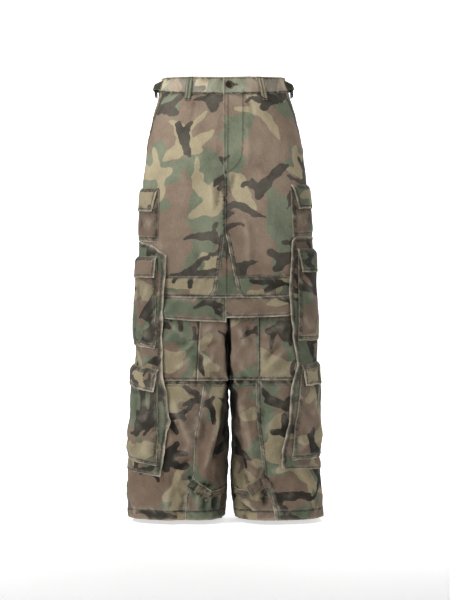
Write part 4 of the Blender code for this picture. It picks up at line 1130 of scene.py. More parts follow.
shinSeam = {
    right: ((-0.72, -0.049), (-0.746, -0.0522), (-0.8255, -0.065), (-0.8612, -0.0722),
            (-0.9539, -0.076), (-1.0087, -0.0924), (-1.07, -0.0965)),
    left: ((-0.72, 0.0715), (-0.8256, 0.0744), (-0.8993, 0.084), (-0.9563, 0.09),
           (-1.0443, 0.1161), (-1.07, 0.1175))}
pocketMouth = ((-0.03, 0.046), (-0.19, 0.006), (-0.197, 0.0), (-2.0, 0.0))


heightTone = {"least": 0.27, "gain": 0.86, "start": -0.62, "ramp": 0.35}


def toneByHeight(z):
    # The cloth is paler, hazier and brighter toward the waist, and darker toward the hems
    return heightTone["least"] + heightTone["gain"] * smooth((z - heightTone["start"]) / heightTone["ramp"])


def buildWaistband():
    look = {"wall": cut["bandWall"], "proud": cut["bandProud"], "spacing": 0.0026}
    bandTop = edge(pucker=0.0017, puckerSpread=0.011, wave=0.008, worn=1.05, dirt=0.3,
                   dirtAt=0.0045, rows=(0.0034,))
    bandSeam = edge(groove=0.001, pucker=0.0012, worn=0.3, dirt=1.1, dirtAt=0.0015, dirtSpread=0.0026,
                    rows=(0.003,))

    def underFly(side, along, z):
        under = nearLine(frontEnd(side, z, body) - along, 0.006, 0.018)
        return look["proud"] - under * (look["wall"] + cut["layGap"])

    for side, label in sideNames.items():
        endX = 0.011 if side == right else cut["flyX"]
        front = atX((0.1, endX), (-0.1, endX))
        edges = {"top": bandTop, "bottom": bandSeam, "back": seam,
                 "front": hidden if side == right else foldedEdge}
        lift = underFly if side == right else (lambda side, along, z: look["proud"] + 0 * z)
        clothPiece("waistband_" + label, side, front, backEnd, waistTop, waistSeam, edges, lift,
                   wall=look["wall"], tube=body, spacing=look["spacing"], fade=1.9, turn=0.05 * side)


# Rows of stitching on the fly, by x and z: the J-shaped row and the row beside its edge
flyRows = (((0.0414, -0.05), (0.0414, -0.15), (0.0404, -0.184), (0.037, -0.206),
            (0.029, -0.222), (0.018, -0.233), (0.006, -0.24), (-0.003, -0.2425)),
           ((0.006, -0.048), (0.006, -0.15), (0.0052, -0.234)))


def buildFronts():
    pocketEdge = edge(groove=0.0, ridge=0.0006, ridgeWidth=0.009, pucker=0.0009, worn=1.0, dirt=0.6,
                      dirtAt=0.006, dirtSpread=0.006, rows=(0.003, 0.011), rowWidth=0.003,
                      span=(-0.2, -0.045))
    bottomSeam = edge(groove=0.0012, pucker=0.0006, worn=0.3, dirt=0.85, dirtAt=0.0006)

    def underFly(side, along, z):
        off = frontEnd(side, z, body) - along
        past = nearLine(cut["flyEnd"] - z, cut["underlap"], 0.03)
        return -onTop() * nearLine(off, 0.006, 0.018) * past

    fly = {"reach": 0.0455, "bendZ": -0.196, "bend": 0.046, "proud": 0.0007, "ramp": 0.003,
           "footZ": -0.236, "footRamp": 0.008}

    def flyLift(side, along, z):
        # The fly's doubled cloth, out to the J-shaped row of stitching
        off = frontEnd(side, z, body) - along
        width = fly["reach"] * (1 - smooth((fly["bendZ"] - z) / fly["bend"]))
        foot = nearLine(fly["footZ"] - z, 0.0, fly["footRamp"])
        return fly["proud"] * nearLine(off, width, fly["ramp"]) * foot

    def centreShadeAndGrime(side, along, z):
        # Painted shade in the centre seam's fold below the fly, and dark grime along the fly's rows of
        # stitching
        off = frontEnd(side, z, body) - along
        below = smooth((cut["flyEnd"] - z) / 0.02)
        total = 0.9 * hump(off, 0.0045) * below + 0.35 * hump(off, 0.016) * below
        if side == left:
            x = bodyX(side, along, z)
            for row in flyRows:
                total += 0.9 * hump(alongPath(row, x, z)[0], 0.0013)
        return total

    gussetRows = edge(ridge=0.0006, ridgeWidth=0.0105, pucker=0.0009, worn=0.65, dirt=0.7,
                      dirtAt=0.0052, dirtSpread=0.004, rows=(0.0024, 0.0088), span=(-0.6, -0.384))
    frontTurn = {right: -0.04, left: 0.3}
    centreEdge = {right: edge(groove=0.0026, pucker=0.0005, worn=0.1, dirt=0.7,
                              span=(-0.378, cut["flyEnd"])),
                  left: edge(pucker=0.0006, worn=0.35, wornWidth=0.0012, dirt=0.55, dirtAt=0.003,
                             dirtSpread=0.0018)}
    mouth = atAlong(*pocketMouth)
    facingFront = atAlong(*[(z, along + cut["underlap"]) for z, along in pocketMouth])

    def facingShade(side, along, z):
        # painted shade on the facing just inside the pocket mouth, under the front's edge
        return 0.55 * hump(mouth(side, z) - along, 0.006)

    for side, label in sideNames.items():
        surfaces["front_" + label] = clothPiece(
            "front_" + label, side, atX(*frontEdge[side], *gussetSeam[side]), mouth, waistSeam, kneeBandTop,
            {"back": pocketEdge, "bottom": bottomSeam, "front": (centreEdge[side], gussetRows),
             "top": edge(dirt=0.4, pucker=0.0008, puckerAt=0.001, groove=0.0006)},
            underFly if side == right else flyLift, tube=body, spacing=0.0032, fade=toneByHeight,
            grime=centreShadeAndGrime, turn=frontTurn[side])
        clothPiece("pocket_facing_" + label, side, facingFront, sideLine, waistSeam, level(-0.205), None,
                   lambda side, along, z: -onTop() + 0 * z, tube=body, spacing=0.004, fade=0.6,
                   grime=facingShade)
        past = 0.002 if side == right else 0.0
        backLine = lambda side, z, tube=None, past=past: backEnd(side, z, tube) - past
        clothPiece("back_" + label, side, sideLine, backLine, waistSeam, crotch,
                   {"front": seam, "back": felledSeam if side == left else edge(groove=0.0026),
                    "bottom": felledSeam, "top": edge(dirt=0.4, pucker=0.0007, puckerAt=0.001)},
                   tube=body, spacing=0.0054, fade=toneByHeight, turn=-0.05 * side)


def flyStitching():
    for row in flyRows:
        drawRow(left, row)
    # bar tack at the foot of the fly
    for k in range(4):
        x = -0.0006 + 0.0011 * k
        drawRow(left, ((x, -0.236), (x, -0.244)), 0.0016)


def drawRow(side, points, pitch=0.0036):
    # A row of stitches on an upper front, through points given by x and z
    points = np.array(points)
    run = np.concatenate([[0], np.cumsum(np.hypot(*np.diff(points, axis=0).T))])
    form = body[side]
    heights = form["heights"]

    def place(t):
        x, z = (np.interp(t * run[-1], run, points[:, k]) for k in (0, 1))
        rows = (heights[0] - z) / (heights[0] - heights[-1]) * (len(heights) - 1)
        rows = np.clip(rows.round().astype(int), 0, len(heights) - 1)
        along = np.array([alongAtX(side, form, i, oneX) for oneX, i in zip(x, rows)])
        height, _ = surfaces["front_" + sideNames[side]](along, z)
        return onForm(side, along, z, height + cut["threadLift"], body)
    sewRow(place, run[-1], pitch)


def buildBands():
    gussetEdge = edge(groove=0.0008, ridge=0.0008, ridgeWidth=0.01, pucker=0.0011, worn=0.85,
                      dirt=0.65, dirtAt=0.005, dirtSpread=0.0042, rows=(0.0024, 0.0088))
    bandTopEdge = edge(groove=0.0008, pucker=0.0009, worn=0.45, dirt=0.8, dirtAt=0.001, rows=(0.0028,))
    bandEndEdge = edge(groove=0.0008, ridge=0.0006, ridgeWidth=0.006, pucker=0.0013, worn=0.75,
                       dirt=0.95, dirtAt=0.0035, dirtSpread=0.003, rows=(0.003,), wave=0.0085)
    freeEnd = edge(pucker=0.001, worn=1.0, wornWidth=0.0022, dirt=0.45, dirtAt=0.005, rows=(0.0042,))
    lap = cut["seamLap"] / 2

    def gussetShade(side, along, z):
        # Painted shade toward its top, and along the crease down its middle
        x = bodyX(side, along, z)
        return 1.15 * smooth((z + 0.465) / 0.045) + 1.3 * hump(x - 0.003, 0.0012)

    clothPiece("gusset", left, atX(*[(z, x - lap) for z, x in gussetSeam[right]]),
               atX(*[(z, x + lap) for z, x in gussetSeam[left]]), level(-0.38), kneeBandEnd[left],
               {"front": seam, "back": seam, "bottom": bandEndEdge}, tube=body, spacing=0.0028,
               fade=0.45, turn=0.4, grime=gussetShade)
    for side, label in sideNames.items():
        clothPiece("knee_band_" + label, side, atX(*gussetSeam[side]), sideLine, kneeBandTop,
                   kneeBandEnd[side], {"top": bandTopEdge, "bottom": bandEndEdge, "front": gussetEdge,
                                       "back": seam}, tube=body, spacing=0.0027, fade=0.4)

        def overLeg(side, along, z):
            hang = nearLine(bandHang[0] - along, 0.0, bandHang[1])
            return onTop() * nearLine(z - cut["crotch"], 0.004, 0.02) * hang

        meet = 0.0012 if side == right else -0.0006
        clothPiece("lower_band_" + label, side, atX((0.0, meet), (-1.0, meet)), sideLine,
                   kneeBandEnd[side], lowerBandEnd[side],
                   {"top": bandEndEdge, "bottom": freeEnd, "back": seam,
                    "front": foldedEdge if side == right else edge(groove=0.0026, dirt=0.5)},
                   overLeg, tube=body, spacing=0.0027, fade=0.4, turn=0.12 * side)


def buildLegs():
    pleatEdge = edge(pucker=0.0006, worn=0.4, wornWidth=0.0012, dirt=0.35, dirtAt=0.004,
                     dirtSpread=0.002, ridge=0.0005, ridgeWidth=0.004)
    tuckEdge = edge(pucker=0.0012, wave=0.008, worn=0.45, wornWidth=0.002, dirt=0.9, dirtAt=0.004,
                    dirtSpread=0.0045, rows=(0.005,))
    ropedEdge = edge(pucker=0.0022, puckerAt=0.015, puckerSpread=0.007, wave=0.007, worn=0.0,
                     dirt=0.95, dirtAt=0.013, dirtSpread=0.0045, rows=(0.0165, 0.0215))
    inseamEdge = edge(groove=0.0008, pucker=0.0006, worn=0.15, dirt=0.45, dirtSpread=0.006)
    # Shaded hollows round the leg tabs: middle along and up, half width, half height, amount
    hollows = {right: ((0.222, -0.994, 0.026, 0.013, 0.9), (0.246, -0.972, 0.012, 0.016, 0.5),
                       (0.262, -1.002, 0.02, 0.012, 0.6), (0.214, -1.03, 0.016, 0.016, 0.3)),
               left: ((0.199, -0.944, 0.006, 0.014, 0.9), (0.183, -0.992, 0.009, 0.014, 0.9),
                      (0.196, -1.012, 0.008, 0.018, 0.7), (0.24, -1.014, 0.018, 0.008, 0.5))}

    for side, label in sideNames.items():
        tuck = level(tuckZ[side])
        pleat = atX(*pleatRows[side])
        underPleat = atX(*[(z, x - side * cut["underlap"]) for z, x in pleatRows[side]])

        def darkUnder(side, along, z):
            # in the shadow of the lower band
            return smooth((z + 0.606) / 0.024)

        def pleatUnder(side, along, z):
            return -onTop() * nearLine(pleat(side, z, leg) - along, 0.001, 0.014)

        def tuckUnder(side, along, z):
            return -onTop(2) * nearLine(tuckZ[side] - z, 0.001, 0.018)

        def wallShare(side, along, z):
            # 1 on the inner wall of the leg, 0 on its front
            return smooth((along - frontEnd(side, z, leg) + column(depth, z, 1) + 0.004) / 0.012)

        def kneeShadow(side, along, z):
            return 1.4 * wallShare(side, along, z)

        def pleatShade(side, along, z):
            # painted shadow of the lower band, and of the inner panel's folded edge lying over this one
            off = pleat(side, z, leg) - along
            return darkUnder(side, along, z) + 1.5 * hump(off - 0.001, 0.0026)

        def shinHollowShade(side, along, z):
            # painted shadow just below the tuck, and painted shade in the hollows round the leg tab
            high = 0.3 * smooth((z - tuckZ[side] + 0.035) / 0.03)
            for middle, height, halfWidth, halfHeight, amount in hollows[side]:
                far = np.hypot((along - middle) / halfWidth, (z - height) / halfHeight)
                high = high + amount * np.exp(-far ** 2)
            return high

        def shinShadow(side, along, z):
            fall = 0.5 + 0.8 * smooth((z + 0.93) / 0.18)
            near = smooth((along - frontEnd(side, z, leg) + column(depth, z, 1) + 0.05) / 0.055)
            return fall * wallShare(side, along, z) + (0.35 if side == right else 0.2) * near

        clothPiece("knee_inner_" + label, side, frontEnd, pleat, crotch, tuck,
                   {"front": inseamEdge, "back": pleatEdge, "bottom": tuckEdge}, tube=leg,
                   fade=0.35, grime=darkUnder, shadow=kneeShadow, turn=0.1 * side)
        clothPiece("knee_outer_" + label, side, underPleat, sideLine, crotch, tuck,
                   {"back": seam, "bottom": tuckEdge}, pleatUnder, tube=leg, fade=0.35,
                   grime=pleatShade, turn=-0.08 * side)
        line = atX(*shinSeam[side])
        start = level(tuckZ[side] + cut["underlap"])
        shinEdge = felledSeam if side == left else edge(groove=0.0009, ridge=0.0005, pucker=0.0009,
                                                        worn=0.75, dirt=0.5, dirtAt=0.003, rows=(0.0028,))
        innerSeam = edge(groove=0.0009, pucker=0.0006, worn=0.35, dirt=0.35)
        clothPiece("shin_inner_" + label, side, frontEnd, line, start, hem,
                   {"front": inseamEdge, "back": innerSeam if side == left else shinEdge,
                    "top": ropedEdge, "bottom": hemEdge}, tuckUnder, tube=leg, fade=0.22,
                   grime=shinHollowShade, shadow=shinShadow, turn=0.06 * side)
        clothPiece("shin_outer_" + label, side, line, sideLine, start, hem,
                   {"front": shinEdge if side == left else innerSeam, "back": seam,
                    "top": ropedEdge, "bottom": hemEdge}, tuckUnder, tube=leg, fade=0.22,
                   turn=-0.05 * side)
        clothPiece("leg_back_" + label, side, sideLine, backEnd, crotch, hem,
                   {"front": seam, "back": inseamEdge, "top": seam, "bottom": hemEdge}, tube=leg,
                   spacing=0.0054, fade=0.32, turn=0.05 * side)


cargoTop = {right: level((0.129, -0.4379), (0.0985, -0.4173), (0.0585, -0.4056), (0.0, -0.401),
                         (-0.11, -0.401)),
            left: level((0.118, -0.408), (0.105, -0.396), (0.09, -0.393), (0.0, -0.3901),
                        (-0.11, -0.3901))}
cargoEnd = {right: level((0.135, -0.96), (0.0, -0.949), (-0.11, -0.948)),
            left: level((0.1464, -0.94), (0.0, -0.9476), (-0.11, -0.948))}
cargoEdge = {
    right: ((-0.4, 0.1268), (-0.4804, 0.1301), (-0.5419, 0.1261), (-0.6247, 0.1236),
            (-0.714, 0.1267), (-0.7714, 0.1373), (-0.8187, 0.1448), (-0.8805, 0.1399),
            (-0.9391, 0.1347), (-0.965, 0.129)),
    left: ((-0.4, 0.1112), (-0.4827, 0.12), (-0.5182, 0.1245), (-0.5892, 0.1214),
           (-0.6628, 0.112), (-0.6961, 0.1057), (-0.7503, 0.1219), (-0.8449, 0.1295),
           (-0.8948, 0.1448), (-0.95, 0.1464))}
panel = {"back": -0.11, "proud": 0.0045, "ramp": 0.03, "wave": 31, "flare": 0.0022}


def cargoLift(side, along, z):
    # Outer face of a long side panel: flat on the leg, with its raw front edge standing off
    rows = np.array(cargoEdge[side])[::-1]
    line = np.interp(z, rows[:, 0], rows[:, 1])
    wave = 0.75 + 0.25 * np.sin(z * panel["wave"] + side)
    ripple = panel["flare"] * softNoise(z / 0.034, 0.5 + side, 21) * nearLine(line - along, 0.0, 0.012)
    return onTop() + (panel["proud"] * wave + ripple) * nearLine(line - along, 0.0, panel["ramp"])


def buildSidePanels():
    def cargoShadeAndGrime(side, along, z):
        # A little grime all over, and painted shade beside and under the pockets' front edges
        total = 0.1 + np.zeros(np.shape(z))
        for place in ("upper", "lower"):
            topAlong, endAlong, _, tops, ends, _ = pockets[place, side]
            share = np.clip((tops[0] - z) / (tops[0] - ends[0]), 0, 1)
            off = along - (topAlong + (endAlong - topAlong) * share)
            inside = smooth((tops[0] - z + 0.004) / 0.004) * smooth((z - ends[0] + 0.006) / 0.006)
            total = total + 0.75 * hump(off - 0.001, 0.005) * inside
        return total

    for side, label in sideNames.items():
        surfaces["side_panel_" + label] = clothPiece(
            "side_panel_" + label, side, atAlong(*cargoEdge[side]),
            atAlong((0.0, panel["back"]), (-2.0, panel["back"])), cargoTop[side], cargoEnd[side],
            {"front": rawEdge, "top": rawEdge, "back": sewnSeam, "bottom": foldedEdge},
            cargoLift, spacing=0.0039, fade=0.3, grime=cargoShadeAndGrime, turn=0.2 * side)
        frayEdge(side, label)


# Pockets: front edge at the top and at the bottom, back edge, heights of the top and the
# bottom at the front edge and at the side line, rise
pockets = {
    ("hip", right): (0.101, 0.105, -0.062, (-0.2815, -0.2765), (-0.404, -0.399), 0.0035),
    ("hip", left): (0.099, 0.1055, -0.062, (-0.273, -0.268), (-0.3925, -0.388), 0.0035),
    ("upper", right): (0.104, 0.108, -0.095, (-0.444, -0.442), (-0.657, -0.648), 0.0045),
    ("upper", left): (0.096, 0.101, -0.095, (-0.426, -0.423), (-0.637, -0.638), 0.0045),
    ("lower", right): (0.113, 0.12, -0.095, (-0.712, -0.703), (-0.935, -0.921), 0.0045),
    ("lower", left): (0.092, 0.121, -0.095, (-0.701, -0.695), (-0.9205, -0.9185), 0.0045)}
flaps = {
    ("hip", right): (0.099, 0.0868, -0.064, (-0.2774, -0.2714), (-0.3314, -0.327)),
    ("hip", left): (0.097, 0.0838, -0.064, (-0.2688, -0.264), (-0.3242, -0.32)),
    ("upper", right): (0.106, 0.102, -0.098, (-0.4393, -0.4367), (-0.4885, -0.487)),
    ("upper", left): (0.0988, 0.09, -0.098, (-0.4209, -0.418), (-0.4754, -0.474)),
    ("lower", right): (0.1166, 0.1079, -0.098, (-0.7068, -0.6974), (-0.7596, -0.746)),
    ("lower", left): (0.095, 0.0861, -0.098, (-0.6963, -0.6901), (-0.7458, -0.7426))}


def pocketBase(place, side, along, z):
    return cargoLift(side, along, z) if place != "hip" else np.zeros(np.shape(z))


def buildPockets():
    bagEdge = edge(ridge=0.0006, ridgeWidth=0.007, pucker=0.0011, wave=0.0095, worn=0.32, dirt=0.85,
                   dirtAt=0.006, dirtSpread=0.0035, rows=(0.0024,))
    bagEnd = edge(ridge=0.0006, ridgeWidth=0.007, pucker=0.0013, wave=0.0095, worn=0.85, dirt=0.65,
                  dirtAt=0.006, dirtSpread=0.0035, rows=(0.0024, 0.0085))
    flapTop = edge(groove=0.0003, pucker=0.0008, worn=0.45, dirt=0.85, dirtAt=0.0052,
                   dirtSpread=0.0036, rows=(0.003, 0.0082))
    flapEdge = edge(ridge=0.0006, ridgeWidth=0.0055, pucker=0.0009, worn=0.85, dirt=0.45,
                    dirtAt=0.006, rows=(0.0052,))

    def edgeLines(topAlong, endAlong, back, tops, ends):
        # Front, back, top and bottom of a pocket or a flap
        return (atAlong((tops[0], topAlong), (ends[0], endAlong)), atAlong((0.0, back), (-2.0, back)),
                level((topAlong, tops[0]), (0.0, tops[1]), (back, tops[1])),
                level((endAlong, ends[0]), (0.0, ends[1]), (back, ends[1])))

    for (place, side), (*lines, rise) in pockets.items():
        upper, lower, _, (topZ, _), (endZ, _) = lines
        flapEnd = flaps[place, side][4][0]
        fall = topZ - endZ
        # creases in the bag, from below the flap toward its lower corners
        bagCreases = (
            (((upper - 0.02, flapEnd - 0.01), (upper - 0.034, flapEnd - 0.35 * fall)), 0.008, 0.0022),
            (((upper - 0.06, flapEnd - 0.006), (upper - 0.052, flapEnd - 0.3 * fall)), 0.009, -0.002),
            (((lower - 0.014, endZ + 0.06), (lower - 0.034, endZ + 0.022)), 0.008, 0.002),
            (((lower - 0.05, endZ + 0.05), (lower - 0.078, endZ + 0.024)), 0.009, -0.0018),
            (((-0.03, flapEnd - 0.02), (-0.044, endZ + 0.04)), 0.01, 0.002))

        def bagLift(side, along, z):
            return pocketBase(place, side, along, z) + onTop()

        def underFlap(side, along, z):
            # painted shadow on the bag just below its flap
            return 0.75 * hump(z - flapEnd + 0.001, 0.0065)

        clothPiece(place + "_pocket_" + sideNames[side], side, *edgeLines(*lines),
                   {"front": bagEdge, "back": bagEdge, "bottom": bagEnd}, bagLift, rise, ramp=0.02,
                   fade=0.35, grime=underFlap, local=bagCreases,
                   turn=0.35 if place == "lower" else -0.15 * side)

    for (place, side), lines in flaps.items():
        rise = pockets[place, side][5]
        front, back, top, bottom = edgeLines(*lines)

        def flapLift(side, along, z):
            below = top(along) - z
            over = smooth(below / 0.004)
            return pocketBase(place, side, along, z) + onTop() * (1 + over) + rise * smooth(below / 0.012)

        clothPiece(place + "_flap_" + sideNames[side], side, front, back, top, bottom,
                   {"top": flapTop, "front": flapEdge, "back": flapEdge, "bottom": flapEdge}, flapLift,
                   spacing=0.0027, fade=0.5, turn=0.25 * side)


def frayEdge(side, label):
    # Loose pale fibres along the raw front and top edges of a long side panel
    look = {"step": 0.00055, "inset": 0.0005, "sunk": 0.0005, "ahead": 0.001, "splay": 0.45,
            "stand": 0.25, "length": (0.0008, 0.0026), "root": 0.0006, "thick": 0.00028}
    front = atAlong(*cargoEdge[side])
    rng = np.random.default_rng(40 + side)
    zs = np.arange(cargoEnd[side](0.13) + 0.001, cargoTop[side](0.125) - 0.001, look["step"])
    tops = np.arange(0.0, float(front(side, -0.43)) - 0.004, look["step"])
    outAlong = np.concatenate([np.ones(len(zs)), np.zeros(len(tops))])
    alongs = np.concatenate([front(side, zs) - look["inset"], tops])
    zs = np.concatenate([zs, cargoTop[side](tops) - look["inset"]])
    height = surfaces["side_panel_" + label](alongs, zs)[0] - look["sunk"]
    points, normals = onForm(side, alongs, zs, height)
    ahead, _ = onForm(side, alongs + look["ahead"] * outAlong, zs + look["ahead"] * (1 - outAlong), height)
    splay = rng.normal(0, look["splay"], points.shape)
    direction = unit(unit(ahead - points) + splay + look["stand"] * normals)
    length = rng.uniform(*look["length"], len(points)) * rng.choice([1.0, 1.0, 1.5], len(points))
    across = unit(np.cross(direction, normals))
    fibres.append((points - direction * look["root"], (across, np.cross(across, direction), direction),
                   (look["thick"], look["thick"], length[:, None, None])))


def buildPatch(name, side, corners, lift, columns, lines, material="camoCotton",
               fade=0.4, shape=None, rows=(), dirt=0.15, pale=(1.0, 1.0, 1.0, 1.0), marks=None):
    # A strap or tab between four corners: start upper, end upper, end lower, start lower.
    # pale is the wear of its start, end, upper and lower edges.
    seed = len(pieces) + 1
    u, v = np.meshgrid(gridShares(columns), gridShares(lines))
    startTop, endTop, endLow, startLow = (np.array(corner) for corner in corners)
    length = float(np.hypot(*(endTop - startTop)))
    width = float(np.hypot(*(startLow - startTop)))

    def spot(u, v):
        a, b = u[..., None], v[..., None]
        place = (startTop * (1 - a) + endTop * a) * (1 - b) + (startLow * (1 - a) + endLow * a) * b
        along, z = place[..., 0], place[..., 1]
        height = lift(along, z)
        offs = np.minimum(u, 1 - u) * length, np.minimum(v, 1 - v) * width
        for off in offs:
            height = height - turnedDrop(off, 0.0012, 0.0005)
        if shape:
            height = height + shape(u, v)
        return along, z, height + 0.0003 * softNoise(u * length / 0.006, v * width / 0.006, seed), offs

    along, z, height, offs = spot(u, v)
    points, normals = onForm(side, along, z, height)
    edgeOffs = (u * length, (1 - u) * length, v * width, (1 - v) * width)
    worn = sum(amount * np.exp(-off / 0.0011) for amount, off in zip(pale, edgeOffs))
    grime = dirt + 0.45 * hump(np.minimum(*offs) - 0.0035, 0.0014)
    # the marks add pale wear, and painted shade in troughs and at the sides
    if marks:
        paleMarks, darkMarks = marks(u)
        worn, grime = worn + paleMarks, grime + darkMarks
    finishGrid(name, points, normals, (along, z), (worn, grime, fade), cut["wall"], 0.3 * seed, seed,
               material)
    declareCloth(name, (length, width), 0.98 * length * width)

    def row(start, end, pitch=0.0034, size=(0.0026, 0.0006, 0.0005)):
        run = np.subtract(end, start)

        def place(t):
            rowAlong, rowZ, rowHeight, _ = spot(start[0] + run[0] * t, start[1] + run[1] * t)
            return onForm(side, rowAlong, rowZ, rowHeight + cut["threadLift"])
        sewRow(place, math.hypot(run[0] * length, run[1] * width), pitch, size)

    for start, end in rows:
        row(start, end)
    return row


def gridShares(count):
    # Shares from 0 to 1, with three close lines beside both ends
    near = np.array([0.0, 0.012, 0.035])
    return np.concatenate([near, np.linspace(0.07, 0.93, count), 1 - near[::-1]])


def buildLoops():
    look = {"width": 0.015, "arch": 0.0015, "front": {right: 0.1175, left: 0.11}, "back": -0.105,
            "lean": 0.008}

    def loop(name, side, middle, top, bottom, lean=0.0):
        def arch(along, z):
            return cut["bandProud"] + onTop() + look["arch"] * np.sin(math.pi * (top - z) / (top - bottom))

        def ridges(u, v):
            # Two folded edges show as ridges down the loop
            return 0.0013 * (hump(u - 0.26, 0.11) + hump(u - 0.74, 0.11))

        def ridgeMarks(u):
            # pale wear on the ridges; painted shade between them and at the sides
            pale = sum(hump(u - place, 0.09) for place in (0.26, 0.74))
            dark = sum(hump(u - place, 0.08) for place in (0, 0.5, 1))
            return 0.75 * pale, 0.9 * dark

        half = look["width"] / 2
        lower = middle + lean
        corners = ((middle + half, top), (middle - half, top), (lower - half, bottom), (lower + half, bottom))
        row = buildPatch(name, side, corners, arch, 9, 26, shape=ridges, fade=1.0, dirt=0.0,
                         pale=(0.1, 0.1, 0.3, 0.3), marks=ridgeMarks,
                         rows=(((0.36, 0.1), (0.36, 0.92)), ((0.64, 0.1), (0.64, 0.92))))
        for v in (0.035, 0.055, 0.93, 0.95, 0.97):
            row((0.1, v), (0.9, v), 0.0012, (0.003, 0.0007, 0.0007))

    for side, label in sideNames.items():
        loop("belt_loop_front_" + label, side, look["front"][side], -0.012, -0.068, look["lean"])
        loop("belt_loop_back_" + label, side, look["back"], 0.001, -0.05)
    loop("belt_loop_centre", left, float(backEnd(left, -0.025, body)), 0.002, -0.05)


def buildLegTabs():
    tabs = {
        right: (((0.207, -0.9623), (0.254, -0.999), (0.24, -1.02), (0.193, -0.984)),
                ((0.3, -0.987), (0.245, -0.996), (0.243, -1.013), (0.3, -1.003))),
        left: (((0.189, -0.9549), (0.231, -0.9833), (0.22, -1.009), (0.174, -0.9805)),
               ((0.29, -0.988), (0.228, -0.9925), (0.225, -1.009), (0.29, -1.004)))}

    def gathers(u, v):
        # Small puckers across the tab
        return 0.001 * softNoise(u * 24, v * 1.5, 31) * smooth((0.85 - u) / 0.2)

    def gatherMarks(u):
        # pale wear on the crests of the gathers, painted shade in their troughs
        waves = softNoise(u * 24, 0.75, 31) * smooth((0.85 - u) / 0.2)
        return 0.25 * np.maximum(waves, 0), 0.65 * np.maximum(-waves, 0)

    for side, (tab, strap) in tabs.items():
        overlap = strap[1][0] - 0.004

        def tabLift(along, z, overlap=overlap):
            return onTop() + 0.0003 + onTop() * smooth((along - overlap + 0.014) / 0.014)

        around = (((0.08, 0.12), (0.92, 0.12)), ((0.08, 0.88), (0.92, 0.88)), ((0.94, 0.15), (0.94, 0.85)))
        row = buildPatch("leg_tab_" + sideNames[side], side, tab, tabLift, 34, 10, rows=around,
                         dirt=0.75 if side == right else 0.35, shape=gathers, marks=gatherMarks,
                         pale=(0.3, 0.5, 1.1, 0.15))
        for u in (0.8, 0.82):
            row((u, 0.1), (u, 0.9), 0.0013, (0.003, 0.0007, 0.0006))
        buildPatch("leg_strap_" + sideNames[side], side, strap, lambda along, z: onTop() + 0.0006 + 0 * z,
                   26, 8, rows=(((0.04, 0.14), (0.96, 0.14)), ((0.04, 0.86), (0.96, 0.86))), dirt=0.45,
                   pale=(0.2, 0.6, 0.9, 0.2))


adjuster = {"middle": -0.01, "strapTop": -0.0145, "strapEnd": -0.036, "buckleTop": -0.0325, "stand": 0.0125}


def buildAdjusters():
    def strapLift(along, z):
        arch = nearLine(np.abs(along - adjuster["middle"]), 0.018, 0.024)
        slope = smooth((adjuster["strapTop"] + 0.004 - z) / 0.016)
        return cut["bandProud"] + onTop() + adjuster["stand"] * arch * slope

    for side, label in sideNames.items():
        corners = ((0.034, adjuster["strapTop"]), (-0.056, adjuster["strapTop"]),
                   (-0.056, adjuster["strapEnd"]), (0.034, adjuster["strapEnd"]))
        row = buildPatch("adjuster_strap_" + label, side, corners, strapLift, 40, 12,
                         material="oliveCotton", fade=0.3,
                         rows=(((0.02, 0.12), (0.98, 0.12)), ((0.02, 0.88), (0.98, 0.88))))
        for u in (0.05, 0.08, 0.92, 0.95):
            row((u, 0.08), (u, 0.92), 0.0014, (0.003, 0.0007, 0.0007))
        buildBuckle("adjuster_buckle_" + label, side)


def buildBuckle(name, side):
    # A slide buckle: a rounded frame, standing where the strap holds it off the waistband
    look = {"across": (-0.016, -0.009, 0.009, 0.016), "down": (0.0, 0.005, 0.013, 0.019), "thick": 0.003}
    piece = startFrom(bpy.ops.mesh.primitive_grid_add, x_subdivisions=3, y_subdivisions=3, size=1)
    piece.name = name.replace("adjuster_buckle", "slide_buckle")
    mesh = piece.data
    setMode("EDIT")
    bpy.ops.mesh.select_mode(type="FACE")
    bpy.ops.mesh.select_all(action="DESELECT")
    setMode("OBJECT")
    middle = min(mesh.polygons, key=lambda face: face.center.length)
    middle.select = True
    setMode("EDIT")
    bpy.ops.mesh.delete(type="FACE")
    setMode("OBJECT")
    for vert in mesh.vertices:
        i = int(round((vert.co.x + 0.5) * 3))
        j = int(round((vert.co.y + 0.5) * 3))
        along = adjuster["middle"] + look["across"][i]
        z = adjuster["buckleTop"] - look["down"][j]
        lift = (cut["bandProud"] + onTop() + adjuster["stand"] - cut["wall"] - cut["layGap"]
                - 0.3 * (adjuster["buckleTop"] - z))
        vert.co = onForm(side, along, z, lift)[0][0]
    outward = onForm(side, adjuster["middle"], adjuster["buckleTop"], 1.0)[1][0]
    mesh.update()
    if np.dot(outward, mesh.polygons[0].normal) < 0:
        mesh.flip_normals()
    for kind, values in (("SOLIDIFY", {"thickness": look["thick"], "offset": -1.0}),
                         ("BEVEL", {"width": 0.0008, "segments": 2}),
                         ("SUBSURF", {"levels": 2, "render_levels": 2})):
        modifier = piece.modifiers.new(kind, kind)
        for key, value in values.items():
            setattr(modifier, key, value)
        bpy.ops.object.modifier_apply(modifier=kind)
    bpy.ops.object.shade_smooth()
    mesh.materials.append(materials["blackBuckle"])
    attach(piece, "root")
    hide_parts(name)


